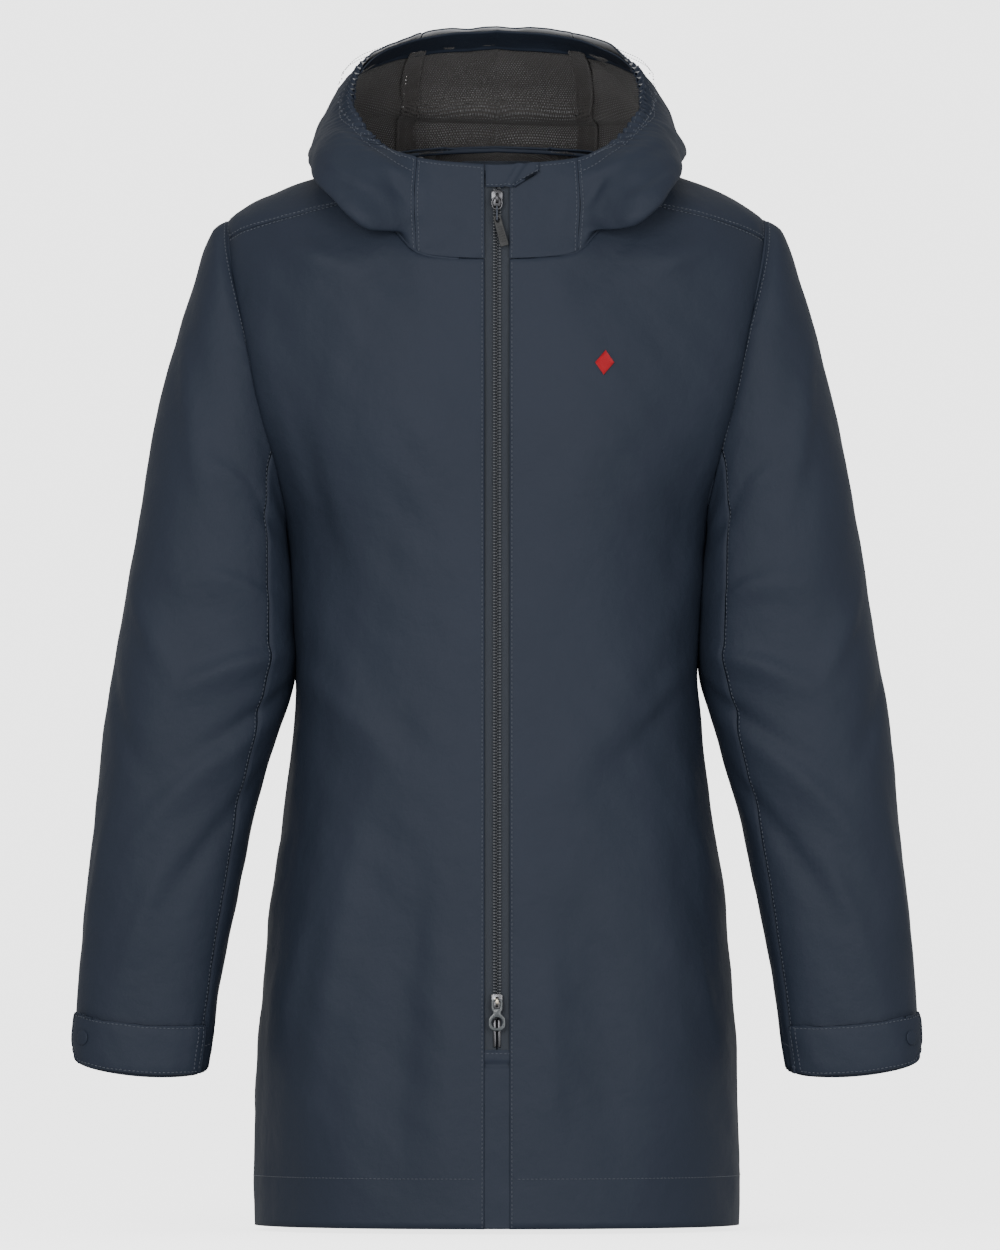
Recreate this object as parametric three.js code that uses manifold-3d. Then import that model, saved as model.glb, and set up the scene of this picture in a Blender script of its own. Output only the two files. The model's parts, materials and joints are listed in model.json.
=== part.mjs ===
// A long hooded foul weather jacket, standing filled as if it were worn, with its two-way front zip closed.
// +X is the wearer's left, -Y the front and +Z up. The origin is the hook point of the hanger loop.
// Inside this file heights are measured up from the hem, and the last group moves them to the origin.
import * as THREE from "three";
import Module from "manifold-3d";

const wasm = await Module();
wasm.setup();

// ---------------------------------------------------------------- driving dimensions, in mm
const CLOTH = 2; // shell cloth with its backing, as one thickness
const LINING = 1.2; // mesh lining

// The zip closes the centre front, which is one straight line that leans back towards the collar.
const FRONT_AT_HEM = 149;
const FRONT_LEAN = 0.0634; // mm back for each mm up
const NECK_FRONT = 774; // height of the neck seam at the zip
const COLLAR_TOP = 849;

// Body sections: height, half width, front depth above the neck seam (below it the zip line rules), back depth.
const BODY = [
  [0, 194, 149, 138],
  [120, 192, 141, 140],
  [260, 182, 132, 130],
  [340, 171, 127, 117],
  [430, 161, 121, 107],
  [480, 160, 118, 106],
  [560, 168, 113, 112],
  [600, 183, 111, 117],
  [640, 200, 108, 120],
  [680, 214, 105, 119],
  [740, 223, 102, 112],
  [774, 223, 100, 104],
  [800, 218, 87, 94],
  [809, 212, 82, 90],
  [820, 193, 76, 84],
  [832, 164, 69, 78],
  [845, 125, 61, 70],
  [856, 88, 54, 64],
  [866, 50, 48, 58],
];
const SQUARENESS = 0.035; // how far the sections bulge past an ellipse at their corners
const BUST = { out: 9, x: 88, height: 640, wide: 62, tall: 95 };

// Armhole: an oval on the body's surface, by its middle height, half height and half angle.
const ARMHOLE = { middle: 683, half: 123, angle: 28 };

// Seams on the body's surface, as angle from the centre front in degrees and height.
const NECK_SEAM = [
  [0, 774],
  [10, 775.5],
  [17, 781],
  [21, 796],
  [26, 815],
  [30, 828],
  [50, 846],
  [90, 856],
  [140, 862],
  [180, 864],
];
// A shoulder seam: its angles at the neck and half way, and how far round the armhole it ends.
const SHOULDER_FRONT = { neck: 30, middle: [46, 811], arm: -30 };
const SHOULDER_BACK = { neck: 126, middle: [116, 827], arm: 30 };

// Sleeve rings by share of the way down: outer point x and height, inner point x and height, half depth, y.
const SLEEVE = [
  [0, 216, 806, 168, 560, 50, 0],
  [0.05, 226, 797, 170.5, 551, 54, 0],
  [0.12, 239, 766, 169.5, 540, 58, 0],
  [0.24, 257, 709, 167, 515, 61, -1],
  [0.38, 278, 620, 165, 480, 63, -3],
  [0.52, 297, 510, 164, 437, 63, -6],
  [0.66, 314, 405, 182, 372, 60, -10],
  [0.79, 325, 300, 202, 292, 54, -16],
  [0.9, 334, 213, 219, 205, 48, -22],
  [1, 339, 136, 231, 128, 43, -28],
];
const CUFF_DIP = 12; // how much lower the front of the cuff hangs than its back
const SLEEVE_SEAM = [120, 146]; // angle of the sleeve's seams from its outer edge, at armhole and cuff

// Collar and hood: share of the way from centre front to centre back, then points from neck seam over to rim.
const HOOD = [
  [0, [0, -99.9, 774], [0, -98.9, 789], [0, -98, 804], [0, -97, 819], [0, -96, 834], [0, -95.2, 849]],
  [0.05, [20, -99.4, 775], [20, -98.5, 790], [20, -97.6, 805], [20, -96.5, 820], [20, -95.4, 835], [20, -94.4, 850]],
  [0.16, [64, -92, 781], [65, -93, 796], [66, -94, 811], [66, -93, 826], [65, -90, 841], [64, -85, 855]],
  [0.28, [86, -63, 831], [98, -97, 800], [113, -110, 806], [116, -105, 832], [106, -86, 856], [93, -67, 868]],
  [0.41, [92, -32, 853], [121, -65, 833], [143, -83, 834], [141, -72, 857], [126, -56, 875], [108, -43, 883]],
  [0.54, [90, 5, 862], [125, -3, 858], [150, -8, 857], [143, -4, 875], [131, 0, 893], [116, -12, 904]],
  [0.7, [68, 42, 866], [108, 64, 848], [138, 78, 852], [134, 80, 886], [121, 62, 918], [106, 32, 936]],
  [0.85, [44, 53, 868], [60, 100, 840], [74, 134, 844], [77, 144, 884], [72, 122, 932], [61, 84, 957]],
  [1, [0, 60, 869], [0, 108, 838], [0, 147, 842], [0, 158, 884], [0, 138, 938], [0, 100, 963]],
];
const COLLAR_SEAM = 0.16; // where, from centre front to centre back, the collar meets the hood side
const CROWN_SEAM = 0.85; // where the hood side meets the crown panel

// Zip: a 5 mm coil zip with two sliders.
const ZIP = {
  slot: 10, // half the gap between the front edges
  tape: 16, // outer edge of each tape, from the centre line
  tapeThick: 0.8,
  coilWide: 2.8,
  coilThick: 2,
  split: 0.6, // half the gap between the two rows of teeth
  bottom: 168,
  top: 833,
  tapeBottom: 140,
};
const TOP_SLIDER = 822; // rest heights of the sliders' bridges
const BOTTOM_SLIDER = 181;
const SLIDER = { wide: 9.2, long: 13, plate: 1.1, bridgeWide: 2.4, bridgeLong: 8.4, bridgeRise: 4.1, bridgeBar: 1 };
const TAB_LEAN = 0.26; // how far the top pull's tab hangs to one side, in radians
const FLAP = { wide: 52, thick: 1.6, back: 5.4 };

// Cuff tab with its press stud.
const TAB = { thick: 1.8, off: 3.8, from: 143, to: 22 };
const STUD = { radius: 4.2, height: 2.2, cap: 6 };

const EMBLEM = { x: 84, height: 691, wide: 15, tall: 20, thick: 0.6 };
const LOOP = { wide: 7, thick: 1.2, span: 56, height: 846, ends: 57.5, stand: 11 };

// ---------------------------------------------------------------- materials
const finish = (color, roughness, metalness = 0) => new THREE.MeshStandardMaterial({ color, roughness, metalness });
const shellCloth = finish(0x323946, 0.62);
const liningMesh = finish(0x353434, 0.8);
const tapeWeave = finish(0x34383f, 0.85);
const coilPlastic = finish(0x33373d, 0.45);
const darkMetal = finish(0x2b2c2e, 0.3, 0.9);
const paintedMetal = finish(0x45494d, 0.4, 0.8);
const blackRubber = finish(0x17181a, 0.6);
const redThread = finish(0xcf2e42, 0.55);
const elasticWeave = finish(0x24272e, 0.85);

// ---------------------------------------------------------------- helpers
const rad = THREE.MathUtils.degToRad;
const lerp = THREE.MathUtils.lerp;
const clamp01 = (t) => THREE.MathUtils.clamp(t, 0, 1);
const vec = (x, y, z) => new THREE.Vector3(x, y, z);

// A cubic through the rows of a table, whose first column is the place looked up.
function smooth(rows, at) {
  let i = 0;
  while (i < rows.length - 2 && at > rows[i + 1][0]) i++;
  const [before, a, b, after] = [rows[Math.max(i - 1, 0)], rows[i], rows[i + 1], rows[Math.min(i + 2, rows.length - 1)]];
  const span = b[0] - a[0];
  const t = clamp01((at - a[0]) / span);
  return a.map((value, k) => {
    const slopeA = ((b[k] - before[k]) / (b[0] - before[0])) * span;
    const slopeB = ((after[k] - a[k]) / (after[0] - a[0])) * span;
    const t2 = t * t;
    const t3 = t2 * t;
    return (2 * t3 - 3 * t2 + 1) * value + (t3 - 2 * t2 + t) * slopeA + (3 * t2 - 2 * t3) * b[k] + (t3 - t2) * slopeB;
  });
}

// A closed sheet: a box's grid laid on surface(u, v), from `inner` to `outer` along the surface's normal.
function sheetGeometry(surface, columns, rows, inner, outer, fix) {
  const geometry = new THREE.BoxGeometry(1, 1, 1, columns, rows, 1);
  const place = geometry.getAttribute("position");
  const step = 1e-3;
  for (let i = 0; i < place.count; i++) {
    const u = place.getX(i) + 0.5;
    const v = place.getY(i) + 0.5;
    const alongU = surface(Math.min(u + step, 1), v).sub(surface(Math.max(u - step, 0), v));
    const alongV = surface(u, Math.min(v + step, 1)).sub(surface(u, Math.max(v - step, 0)));
    const normal = alongU.cross(alongV).normalize();
    const point = surface(u, v).addScaledVector(normal, place.getZ(i) > 0 ? outer : inner);
    if (fix) fix(point, u, v);
    place.setXYZ(i, point.x, point.y, point.z);
  }
  geometry.deleteAttribute("uv");
  geometry.computeVertexNormals();
  return geometry;
}

const mirrored = (surface) => (u, v) => {
  const p = surface(1 - u, v);
  return p.setX(-p.x);
};

const jacket = new THREE.Group();
function add(name, geometry, material, group = jacket) {
  const mesh = new THREE.Mesh(geometry, material);
  mesh.name = name;
  group.add(mesh);
  return mesh;
}

// A sheet on the wearer's left, and its mirror image on the right.
function addPair(name, surface, columns, rows, inner, outer, material, fix) {
  add(name + "_left", sheetGeometry(surface, columns, rows, inner, outer, fix), material);
  add(name + "_right", sheetGeometry(mirrored(surface), columns, rows, inner, outer, fix), material);
}

// Joins and cuts closed geometries.
function solid(geometry) {
  const bare = geometry.index ? geometry.toNonIndexed() : geometry;
  const place = bare.getAttribute("position");
  const seen = new Map();
  const points = [];
  const triangles = [];
  for (let i = 0; i < place.count; i++) {
    const key = [place.getX(i), place.getY(i), place.getZ(i)].map((c) => Math.round(c * 1e4)).join();
    if (!seen.has(key)) {
      seen.set(key, points.length / 3);
      points.push(place.getX(i), place.getY(i), place.getZ(i));
    }
    triangles.push(seen.get(key));
  }
  return new wasm.Manifold(
    new wasm.Mesh({ numProp: 3, vertProperties: new Float32Array(points), triVerts: new Uint32Array(triangles) }),
  );
}

function fromSolid(made) {
  const mesh = made.getMesh();
  const geometry = new THREE.BufferGeometry();
  geometry.setAttribute("position", new THREE.BufferAttribute(mesh.vertProperties, 3));
  geometry.setIndex(new THREE.BufferAttribute(mesh.triVerts, 1));
  geometry.computeVertexNormals();
  return geometry;
}

const box = (wide, deep, tall, x, y, z) => new THREE.BoxGeometry(wide, deep, tall).translate(x, y, z);

// ---------------------------------------------------------------- body surface
const frontDepth = (height) => FRONT_AT_HEM - FRONT_LEAN * height;

// A point of the body by its angle from the centre front in degrees and its height.
function bodyPoint(angle, height) {
  const [, wide, front, back] = smooth(BODY, height);
  const turn = rad(angle);
  const square = 1 + SQUARENESS * Math.sin(2 * turn) ** 2;
  const depth = Math.cos(turn) < 0 ? back : height < NECK_FRONT ? frontDepth(height) : front;
  const x = wide * Math.sin(turn) * square;
  const beside = (Math.abs(x) - BUST.x) / BUST.wide;
  const above = (height - BUST.height) / BUST.tall;
  const bust = BUST.out * Math.exp(-(beside ** 2) - above ** 2) * Math.max(0, Math.cos(turn));
  return vec(x, -depth * Math.cos(turn) * square - bust, height);
}

const neckHeight = (angle) => smooth(NECK_SEAM, angle)[1];

// The armhole as body angle and height. It goes round in degrees: 0 is its top, +90 its back, -90 its front.
const armhole = (round) => [
  90 + ARMHOLE.angle * Math.sin(rad(round)),
  ARMHOLE.middle + ARMHOLE.half * Math.cos(rad(round)),
];

function shoulderSeam(seam, s) {
  const rows = [[0, seam.neck, neckHeight(seam.neck)], [0.45, ...seam.middle], [1, ...armhole(seam.arm)]];
  return smooth(rows, s).slice(1);
}

// The side edge of a panel: rows below the armpit follow the side seam, rows above it the armhole.
const ARMPIT_ROW = 0.375;
function sideEdge(seam, v) {
  const side = Math.sign(seam.arm);
  if (v <= ARMPIT_ROW) return [90, ((ARMHOLE.middle - ARMHOLE.half) * v) / ARMPIT_ROW];
  return armhole(lerp(180 * side, seam.arm, (v - ARMPIT_ROW) / (1 - ARMPIT_ROW)));
}
const rowRise = (v) => (v <= ARMPIT_ROW ? (0.7 * v) / ARMPIT_ROW : 0.7 + (0.3 * (v - ARMPIT_ROW)) / (1 - ARMPIT_ROW));

// A patch between four edges, each giving body angle and height.
function patch(bottom, top, left, right) {
  return (u, v) => {
    const [b, t, l, r] = [bottom(u), top(u), left(v), right(v)];
    const corners = [bottom(0), bottom(1), top(0), top(1)];
    return [0, 1].map((k) => {
      const across = (1 - v) * b[k] + v * t[k] + (1 - u) * l[k] + u * r[k];
      const low = (1 - u) * corners[0][k] + u * corners[1][k];
      const high = (1 - u) * corners[2][k] + u * corners[3][k];
      return across - (1 - v) * low - v * high;
    });
  };
}

const NECK_SHARE = 0.4;
const frontPatch = patch(
  (u) => [90 * u, 0],
  (u) => {
    if (u > NECK_SHARE) return shoulderSeam(SHOULDER_FRONT, (u - NECK_SHARE) / (1 - NECK_SHARE));
    const angle = (SHOULDER_FRONT.neck * u) / NECK_SHARE;
    return [angle, neckHeight(angle)];
  },
  (v) => [0, NECK_FRONT * rowRise(v)],
  (v) => sideEdge(SHOULDER_FRONT, v),
);
// The front edge stops beside the zip, so the angles are squeezed towards the side.
function frontSurface(u, v) {
  const [angle, height] = frontPatch(u, v);
  const atZip = THREE.MathUtils.radToDeg(Math.asin(ZIP.slot / smooth(BODY, height)[1]));
  return bodyPoint(lerp(atZip, 90, angle / 90), height);
}

const BACK_SHARE = 0.3;
const otherSide = ([angle, height]) => [360 - angle, height];
const backPatch = patch(
  (u) => [90 + 180 * u, 0],
  (u) => {
    if (u < BACK_SHARE) return shoulderSeam(SHOULDER_BACK, 1 - u / BACK_SHARE);
    if (u > 1 - BACK_SHARE) return otherSide(shoulderSeam(SHOULDER_BACK, 1 - (1 - u) / BACK_SHARE));
    const angle = lerp(SHOULDER_BACK.neck, 360 - SHOULDER_BACK.neck, (u - BACK_SHARE) / (1 - 2 * BACK_SHARE));
    return [angle, neckHeight(Math.min(angle, 360 - angle))];
  },
  (v) => sideEdge(SHOULDER_BACK, v),
  (v) => otherSide(sideEdge(SHOULDER_BACK, v)),
);
const backSurface = (u, v) => bodyPoint(...backPatch(u, v));

const shoulderPatch = patch(
  (u) => armhole(lerp(SHOULDER_FRONT.arm, SHOULDER_BACK.arm, u)),
  (u) => {
    const angle = lerp(SHOULDER_FRONT.neck, SHOULDER_BACK.neck, u);
    return [angle, neckHeight(angle)];
  },
  (v) => shoulderSeam(SHOULDER_FRONT, 1 - v),
  (v) => shoulderSeam(SHOULDER_BACK, 1 - v),
);
const shoulderSurface = (u, v) => bodyPoint(...shoulderPatch(u, v));

// Part of a surface, given as its first and last u and v.
const part = (surface, u0, u1, v0, v1) => (u, v) => surface(lerp(u0, u1, u), lerp(v0, v1, v));

const atHem = (point, u, v) => {
  if (v === 0) point.z = 0;
};

function buildBody() {
  addPair("front", part(frontSurface, 0, 0.9975, 0, 0.996), 10, 24, -CLOTH, 0, shellCloth, atHem);
  add("back", sheetGeometry(part(backSurface, 0.0013, 0.9987, 0, 0.996), 18, 24, -CLOTH, 0, atHem), shellCloth);
  addPair("shoulder", part(shoulderSurface, 0.01, 0.99, 0.01, 0.99), 6, 8, -CLOTH, 0, shellCloth);
}

// The hem facing stops short of the zip, and the mesh linings hang from the neck to just above them.
function buildBodyLining() {
  const [inner, outer] = [-CLOTH - 1.2 - LINING, -CLOTH - 1.2];
  const hem = (u, v) => bodyPoint(lerp(9, 351, u), lerp(1, 38, v));
  add("hem_facing", sheetGeometry(hem, 40, 1, inner, outer), shellCloth);
  const [deep, near] = [-12 - LINING, -12];
  addPair("lining_front", part(frontSurface, 0.11, 0.97, 0.045, 0.925), 6, 16, deep, near, liningMesh);
  add("lining_back", sheetGeometry(part(backSurface, 0.016, 0.984, 0.045, 0.925), 12, 16, deep, near), liningMesh);
}

// ---------------------------------------------------------------- sleeves
// A point of the left sleeve: turn runs from its outer edge over the front, and down from armhole to cuff.
function sleevePoint(turn, down) {
  const [, outX, outZ, inX, inZ, depth, y] = smooth(SLEEVE, down);
  const c = Math.cos(rad(turn));
  const s = Math.sin(rad(turn));
  const square = 1 + 0.05 * (2 * s * c) ** 2;
  const dip = CUFF_DIP * Math.max(0, s) * down ** 6;
  return vec(
    (outX + inX) / 2 + ((outX - inX) / 2) * c * square,
    y - depth * s * square,
    (outZ + inZ) / 2 + ((outZ - inZ) / 2) * c * square - dip,
  );
}
function sleeveSurface(turn, down) {
  const point = sleevePoint(turn, down);
  const fade = clamp01(1 - down / 0.3) ** 2;
  if (fade === 0) return point;
  const miss = bodyPoint(...armhole(-turn)).sub(sleevePoint(turn, 0));
  return point.addScaledVector(miss, fade);
}
const sleeveSeam = (down) => lerp(SLEEVE_SEAM[0], SLEEVE_SEAM[1], down);
const upperSleeve = (u, v) => sleeveSurface(lerp(sleeveSeam(v), -sleeveSeam(v), 1 - u), v);
const underSleeve = (u, v) => sleeveSurface(lerp(sleeveSeam(v), 360 - sleeveSeam(v), u), v);

// Where a small piece sits on a sleeve or panel: its point, and axes along the surface and out of it.
function spot(surface, u, v, out) {
  const step = 1e-3;
  const point = surface(u, v);
  const alongU = surface(u + step, v).sub(surface(u - step, v)).normalize();
  const alongV = surface(u, v + step).sub(surface(u, v - step));
  const normal = alongU.clone().cross(alongV).normalize();
  const up = normal.clone().cross(alongU);
  const frame = new THREE.Matrix4().makeBasis(alongU, up, normal);
  return frame.setPosition(point.addScaledVector(normal, out));
}

function buildSleeves() {
  addPair("sleeve_upper", part(upperSleeve, 0.002, 0.998, 0.006, 1), 24, 10, -CLOTH, 0, shellCloth);
  addPair("sleeve_under", part(underSleeve, 0.004, 0.996, 0.006, 1), 12, 10, -CLOTH, 0, shellCloth);
  const tube = (u, v) => sleeveSurface(180 + 360 * u, v);
  addPair("lining_sleeve", part(tube, 0.004, 0.996, 0.05, 0.93), 12, 8, -6 - LINING, -6, liningMesh);
  const gathered = (u, v) => sleeveSurface(lerp(110, 250, u), lerp(0.95, 0.99, v));
  addPair("cuff_elastic", gathered, 10, 1, -CLOTH - 2.6, -CLOTH - 1.2, elasticWeave);
}

// ---------------------------------------------------------------- collar and hood
const columnHeights = (list, v) => {
  const rows = list.map((point, i) => [i / (list.length - 1), ...point]);
  return smooth(rows, v).slice(1);
};
function hoodPoint(u, v) {
  const rows = HOOD.map(([at, ...column]) => [at, ...columnHeights(column, v)]);
  return vec(...smooth(rows, u).slice(1));
}
const collarStart = 0.0252;

function buildHood() {
  const zipEdge = (point, u) => {
    if (Math.abs(point.x) < ZIP.slot + 1) point.x = Math.sign(point.x) * ZIP.slot;
  };
  const collar = part(hoodPoint, collarStart, COLLAR_SEAM - 0.0025, 0.012, 1);
  addPair("collar", collar, 5, 6, -CLOTH, 0, shellCloth, zipEdge);
  addPair("collar_lining", part(hoodPoint, 0.08, COLLAR_SEAM - 0.006, 0.03, 0.98), 3, 4, -5.2, -4, shellCloth);
  const side = part(hoodPoint, COLLAR_SEAM + 0.0025, CROWN_SEAM - 0.002, 0.012, 1);
  addPair("hood_side", side, 14, 12, -CLOTH, 0, shellCloth);
  const crown = (u, v) => {
    const across = 2 * u - 1;
    const p = hoodPoint(lerp(1, CROWN_SEAM + 0.002, Math.abs(across)), lerp(0.012, 1, v));
    return p.setX(-Math.sign(across) * p.x);
  };
  add("hood_crown", sheetGeometry(crown, 8, 12, -CLOTH, 0), shellCloth);
  const [inner, outer] = [-CLOTH - 2.2 - LINING, -CLOTH - 2.2];
  addPair("hood_lining", part(hoodPoint, 0.2, 0.845, 0.27, 0.86), 12, 8, inner, outer, liningMesh);
  const crownLining = (u, v) => {
    const across = 2 * u - 1;
    const p = hoodPoint(lerp(1, 0.86, Math.abs(across)), lerp(0.05, 0.86, v));
    return p.setX(-Math.sign(across) * p.x);
  };
  add("hood_crown_lining", sheetGeometry(crownLining, 6, 9, inner, outer), liningMesh);
  const [rimInner, rimOuter] = [-CLOTH - 1.8 - LINING, -CLOTH - 1.8];
  const brim = (u, v) => {
    const across = 2 * u - 1;
    const p = hoodPoint(lerp(1, 0.66, Math.abs(across)), lerp(0.875, 0.99, v));
    return p.setX(-Math.sign(across) * p.x);
  };
  add("hood_brim_facing", sheetGeometry(brim, 16, 2, rimInner, rimOuter), shellCloth);
  addPair("hood_elastic", part(hoodPoint, 0.2, 0.65, 0.88, 0.99), 10, 1, rimInner, rimOuter, elasticWeave);
}

// ---------------------------------------------------------------- zip, on a group that leans with the front
const closure = new THREE.Group();
closure.position.set(0, -FRONT_AT_HEM, 0);
closure.rotation.x = -Math.atan(FRONT_LEAN);
const alongZip = (height) => height * Math.hypot(1, FRONT_LEAN);

// A flat plate lying in the x and z directions and centred on y, from a shape whose second number runs down.
function plate(shape, thick, y, z) {
  const geometry = new THREE.ExtrudeGeometry(shape, { depth: thick, bevelEnabled: false });
  return geometry.rotateX(-Math.PI / 2).translate(0, y - thick / 2, z);
}
const oval = (y, halfWide, halfTall) =>
  Array.from({ length: 16 }, (_, i) => {
    const turn = (i / 16) * Math.PI * 2;
    return new THREE.Vector2(halfWide * Math.cos(turn), y + halfTall * Math.sin(turn));
  });
function ringShape(wide, tall, holeWide, holeTall) {
  const shape = new THREE.Shape(oval(0, wide / 2, tall / 2));
  shape.holes.push(new THREE.Path(oval(0, holeWide / 2, holeTall / 2)));
  return shape;
}

// One slider: front and back plates joined by the wedge that runs between the two rows of teeth,
// side lips that keep the teeth in, and an arch on the front for the pull. nose is +1 when it points up.
function slider(nose) {
  const { wide, long, plate: thick, bridgeWide, bridgeLong, bridgeRise, bridgeBar } = SLIDER;
  const front = -0.2;
  const bridgeFoot = front - thick;
  const legMiddle = bridgeFoot + 0.2 - bridgeRise / 2; // each leg runs 0.4 into the plate
  const parts = [
    box(wide, thick, long, 0, front - thick / 2, 0),
    box(wide, 1.2, long, 0, 5.1, 0),
    box(0.7, 5.6, 4, 0, 2.2, nose * 4),
    box(0.7, 3.4, long, -wide / 2 + 0.35, 1, 0),
    box(0.7, 3.4, long, wide / 2 - 0.35, 1, 0),
    box(bridgeWide, bridgeBar, bridgeLong, 0, bridgeFoot - bridgeRise + bridgeBar / 2, 0),
    box(bridgeWide, bridgeRise + 0.4, bridgeBar, 0, legMiddle, (bridgeLong - bridgeBar) / 2),
    box(bridgeWide, bridgeRise + 0.4, bridgeBar, 0, legMiddle, (bridgeBar - bridgeLong) / 2),
  ];
  return fromSolid(wasm.Manifold.union(parts.map(solid)));
}

const PULL_Y = -0.2 - SLIDER.plate - 1.75; // the pull lies just over the slider's front plate

function buildZip() {
  const [low, high, top] = [alongZip(ZIP.bottom), alongZip(ZIP.top), alongZip(ZIP.top) + 6];
  for (const [name, side] of [["left", 1], ["right", -1]]) {
    const tapeWide = ZIP.tape - ZIP.split;
    const tapeLow = alongZip(ZIP.tapeBottom);
    const tapeX = side * (ZIP.split + tapeWide / 2);
    const coilX = side * (ZIP.split + ZIP.coilWide / 2);
    const tape = box(tapeWide, ZIP.tapeThick, top - tapeLow, tapeX, 3.6, (top + tapeLow) / 2);
    add("zip_tape_" + name, tape, tapeWeave, closure);
    const coil = box(ZIP.coilWide, ZIP.coilThick, high - low, coilX, 2, (high + low) / 2);
    add("zip_teeth_" + name, coil, coilPlastic, closure);
    add("zip_top_stop_" + name, box(3.4, 2.2, 3, side * (ZIP.split + 1.7), 2, high + 2), darkMetal, closure);
    add("zip_pin_" + name, box(2.4, 2, 22, side * (ZIP.split + 1.2), 2.1, low - 12), darkMetal, closure);
  }
  const flapTop = alongZip(COLLAR_TOP) - 3;
  const flap = box(FLAP.wide, FLAP.thick, flapTop - 3, 0, FLAP.back + 1.2 + FLAP.thick / 2, flapTop / 2 + 1.5);
  add("storm_flap", flap, shellCloth, closure);

  add("top_slider", slider(1).translate(0, 0, alongZip(TOP_SLIDER)), darkMetal, closure);
  add("bottom_slider", slider(-1).translate(0, 0, alongZip(BOTTOM_SLIDER)), darkMetal, closure);

  // The top pull: a ring under the arch, a cord through the ring and a flat rubber tab on the cord.
  const topZ = alongZip(TOP_SLIDER);
  add("top_pull_ring", plate(ringShape(9.6, 11, 6.6, 8), 1.2, PULL_Y, topZ - 4.2), darkMetal, closure);
  const cord = new THREE.TorusGeometry(2.6, 0.6, 6, 12).rotateY(Math.PI / 2).scale(1, 0.9, 2);
  add("top_pull_cord", cord.translate(0, PULL_Y, topZ - 12), blackRubber, closure);
  const tabShape = new THREE.Shape([
    new THREE.Vector2(-3, -1.2),
    new THREE.Vector2(-3.5, 24),
    new THREE.Vector2(3.5, 24),
    new THREE.Vector2(3, -1.2),
  ]);
  tabShape.holes.push(new THREE.Path(oval(2.4, 1.7, 2.2)));
  const tab = plate(tabShape, 1.8, 0, 0).rotateY(-TAB_LEAN);
  add("top_pull_tab", tab.translate(0, PULL_Y, topZ - 15.2), blackRubber, closure);

  // The bottom pull: one flat plate with an eye under the arch and an oval finger ring.
  const pullShape = new THREE.Shape([
    new THREE.Vector2(-4.4, -2.2),
    new THREE.Vector2(-4.4, 6.4),
    new THREE.Vector2(-2.4, 9),
    new THREE.Vector2(-6.6, 13),
    new THREE.Vector2(-6.6, 20),
    new THREE.Vector2(-3.6, 23),
    new THREE.Vector2(3.6, 23),
    new THREE.Vector2(6.6, 20),
    new THREE.Vector2(6.6, 13),
    new THREE.Vector2(2.4, 9),
    new THREE.Vector2(4.4, 6.4),
    new THREE.Vector2(4.4, -2.2),
  ]);
  pullShape.holes.push(
    new THREE.Path([
      new THREE.Vector2(-2.6, -0.8),
      new THREE.Vector2(2.6, -0.8),
      new THREE.Vector2(2.6, 5.4),
      new THREE.Vector2(-2.6, 5.4),
    ]),
    new THREE.Path(oval(16.6, 4.6, 4.3)),
  );
  add("bottom_pull", plate(pullShape, 1.3, PULL_Y, alongZip(BOTTOM_SLIDER)), paintedMetal, closure);
}

// The zip garage: a small folded flap on the collar that covers the top of the zip.
function buildGarage() {
  const garage = (u, v) => {
    const x = lerp(-9, 33, u);
    const low = 0.76 + 0.2 * clamp01((x - 12) / 30);
    const p = hoodPoint((Math.abs(x) * COLLAR_SEAM) / 64, lerp(low, 0.995, v));
    return p.setX(x);
  };
  add("zip_garage", sheetGeometry(garage, 8, 2, 0.5, 2.6), shellCloth);
}

// ---------------------------------------------------------------- cuff tabs, press studs, emblem, loop
const disc = (radius, height, from) => {
  return new THREE.CylinderGeometry(radius, radius, height, 16).rotateX(Math.PI / 2).translate(0, 0, from + height / 2);
};
const TAB_DOWN = [0.952, 0.996];
const tabSurface = (u, v) => sleeveSurface(lerp(TAB.to, TAB.from, u), lerp(TAB_DOWN[0], TAB_DOWN[1], v));

function buildCuffs() {
  const tab = (u, v) => tabSurface(u, u < 0.12 ? lerp(0, 0.72 + u * 2.3, v) : v);
  addPair("cuff_tab", tab, 16, 3, TAB.off, TAB.off + TAB.thick, shellCloth);
  const ring = ringShape(2 * STUD.radius, 2 * STUD.radius, 3.6, 3.6);
  const socket = new THREE.ExtrudeGeometry(ring, { depth: 1.5, bevelEnabled: false });
  const stud = fromSolid(
    wasm.Manifold.union([solid(disc(STUD.radius, 0.9, 0)), solid(disc(1.5, STUD.height, 0))]),
  );
  const onTab = spot(tabSurface, 0.14, 0.45, 0);
  const spare = spot(sleeveSurfaceByShare, 4 / 360, 0.97, 0.4);
  const pieces = [
    ["cuff_stud", stud, onTab, 0.4, darkMetal],
    ["tab_socket", socket, onTab, 1.4, paintedMetal],
    ["tab_cap", disc(STUD.cap, 1, 0), onTab, TAB.off + TAB.thick + 0.5, shellCloth],
    ["cuff_stud_spare", stud, spare, 0.2, darkMetal],
  ];
  for (const [name, geometry, frame, out, material] of pieces) {
    const left = geometry.clone().translate(0, 0, out).applyMatrix4(frame);
    add(name + "_left", left, material);
    const right = fromSolid(solid(left).mirror([1, 0, 0]));
    add(name + "_right", right, material);
  }
}
const sleeveSurfaceByShare = (u, v) => sleeveSurface(360 * u, v);

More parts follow.
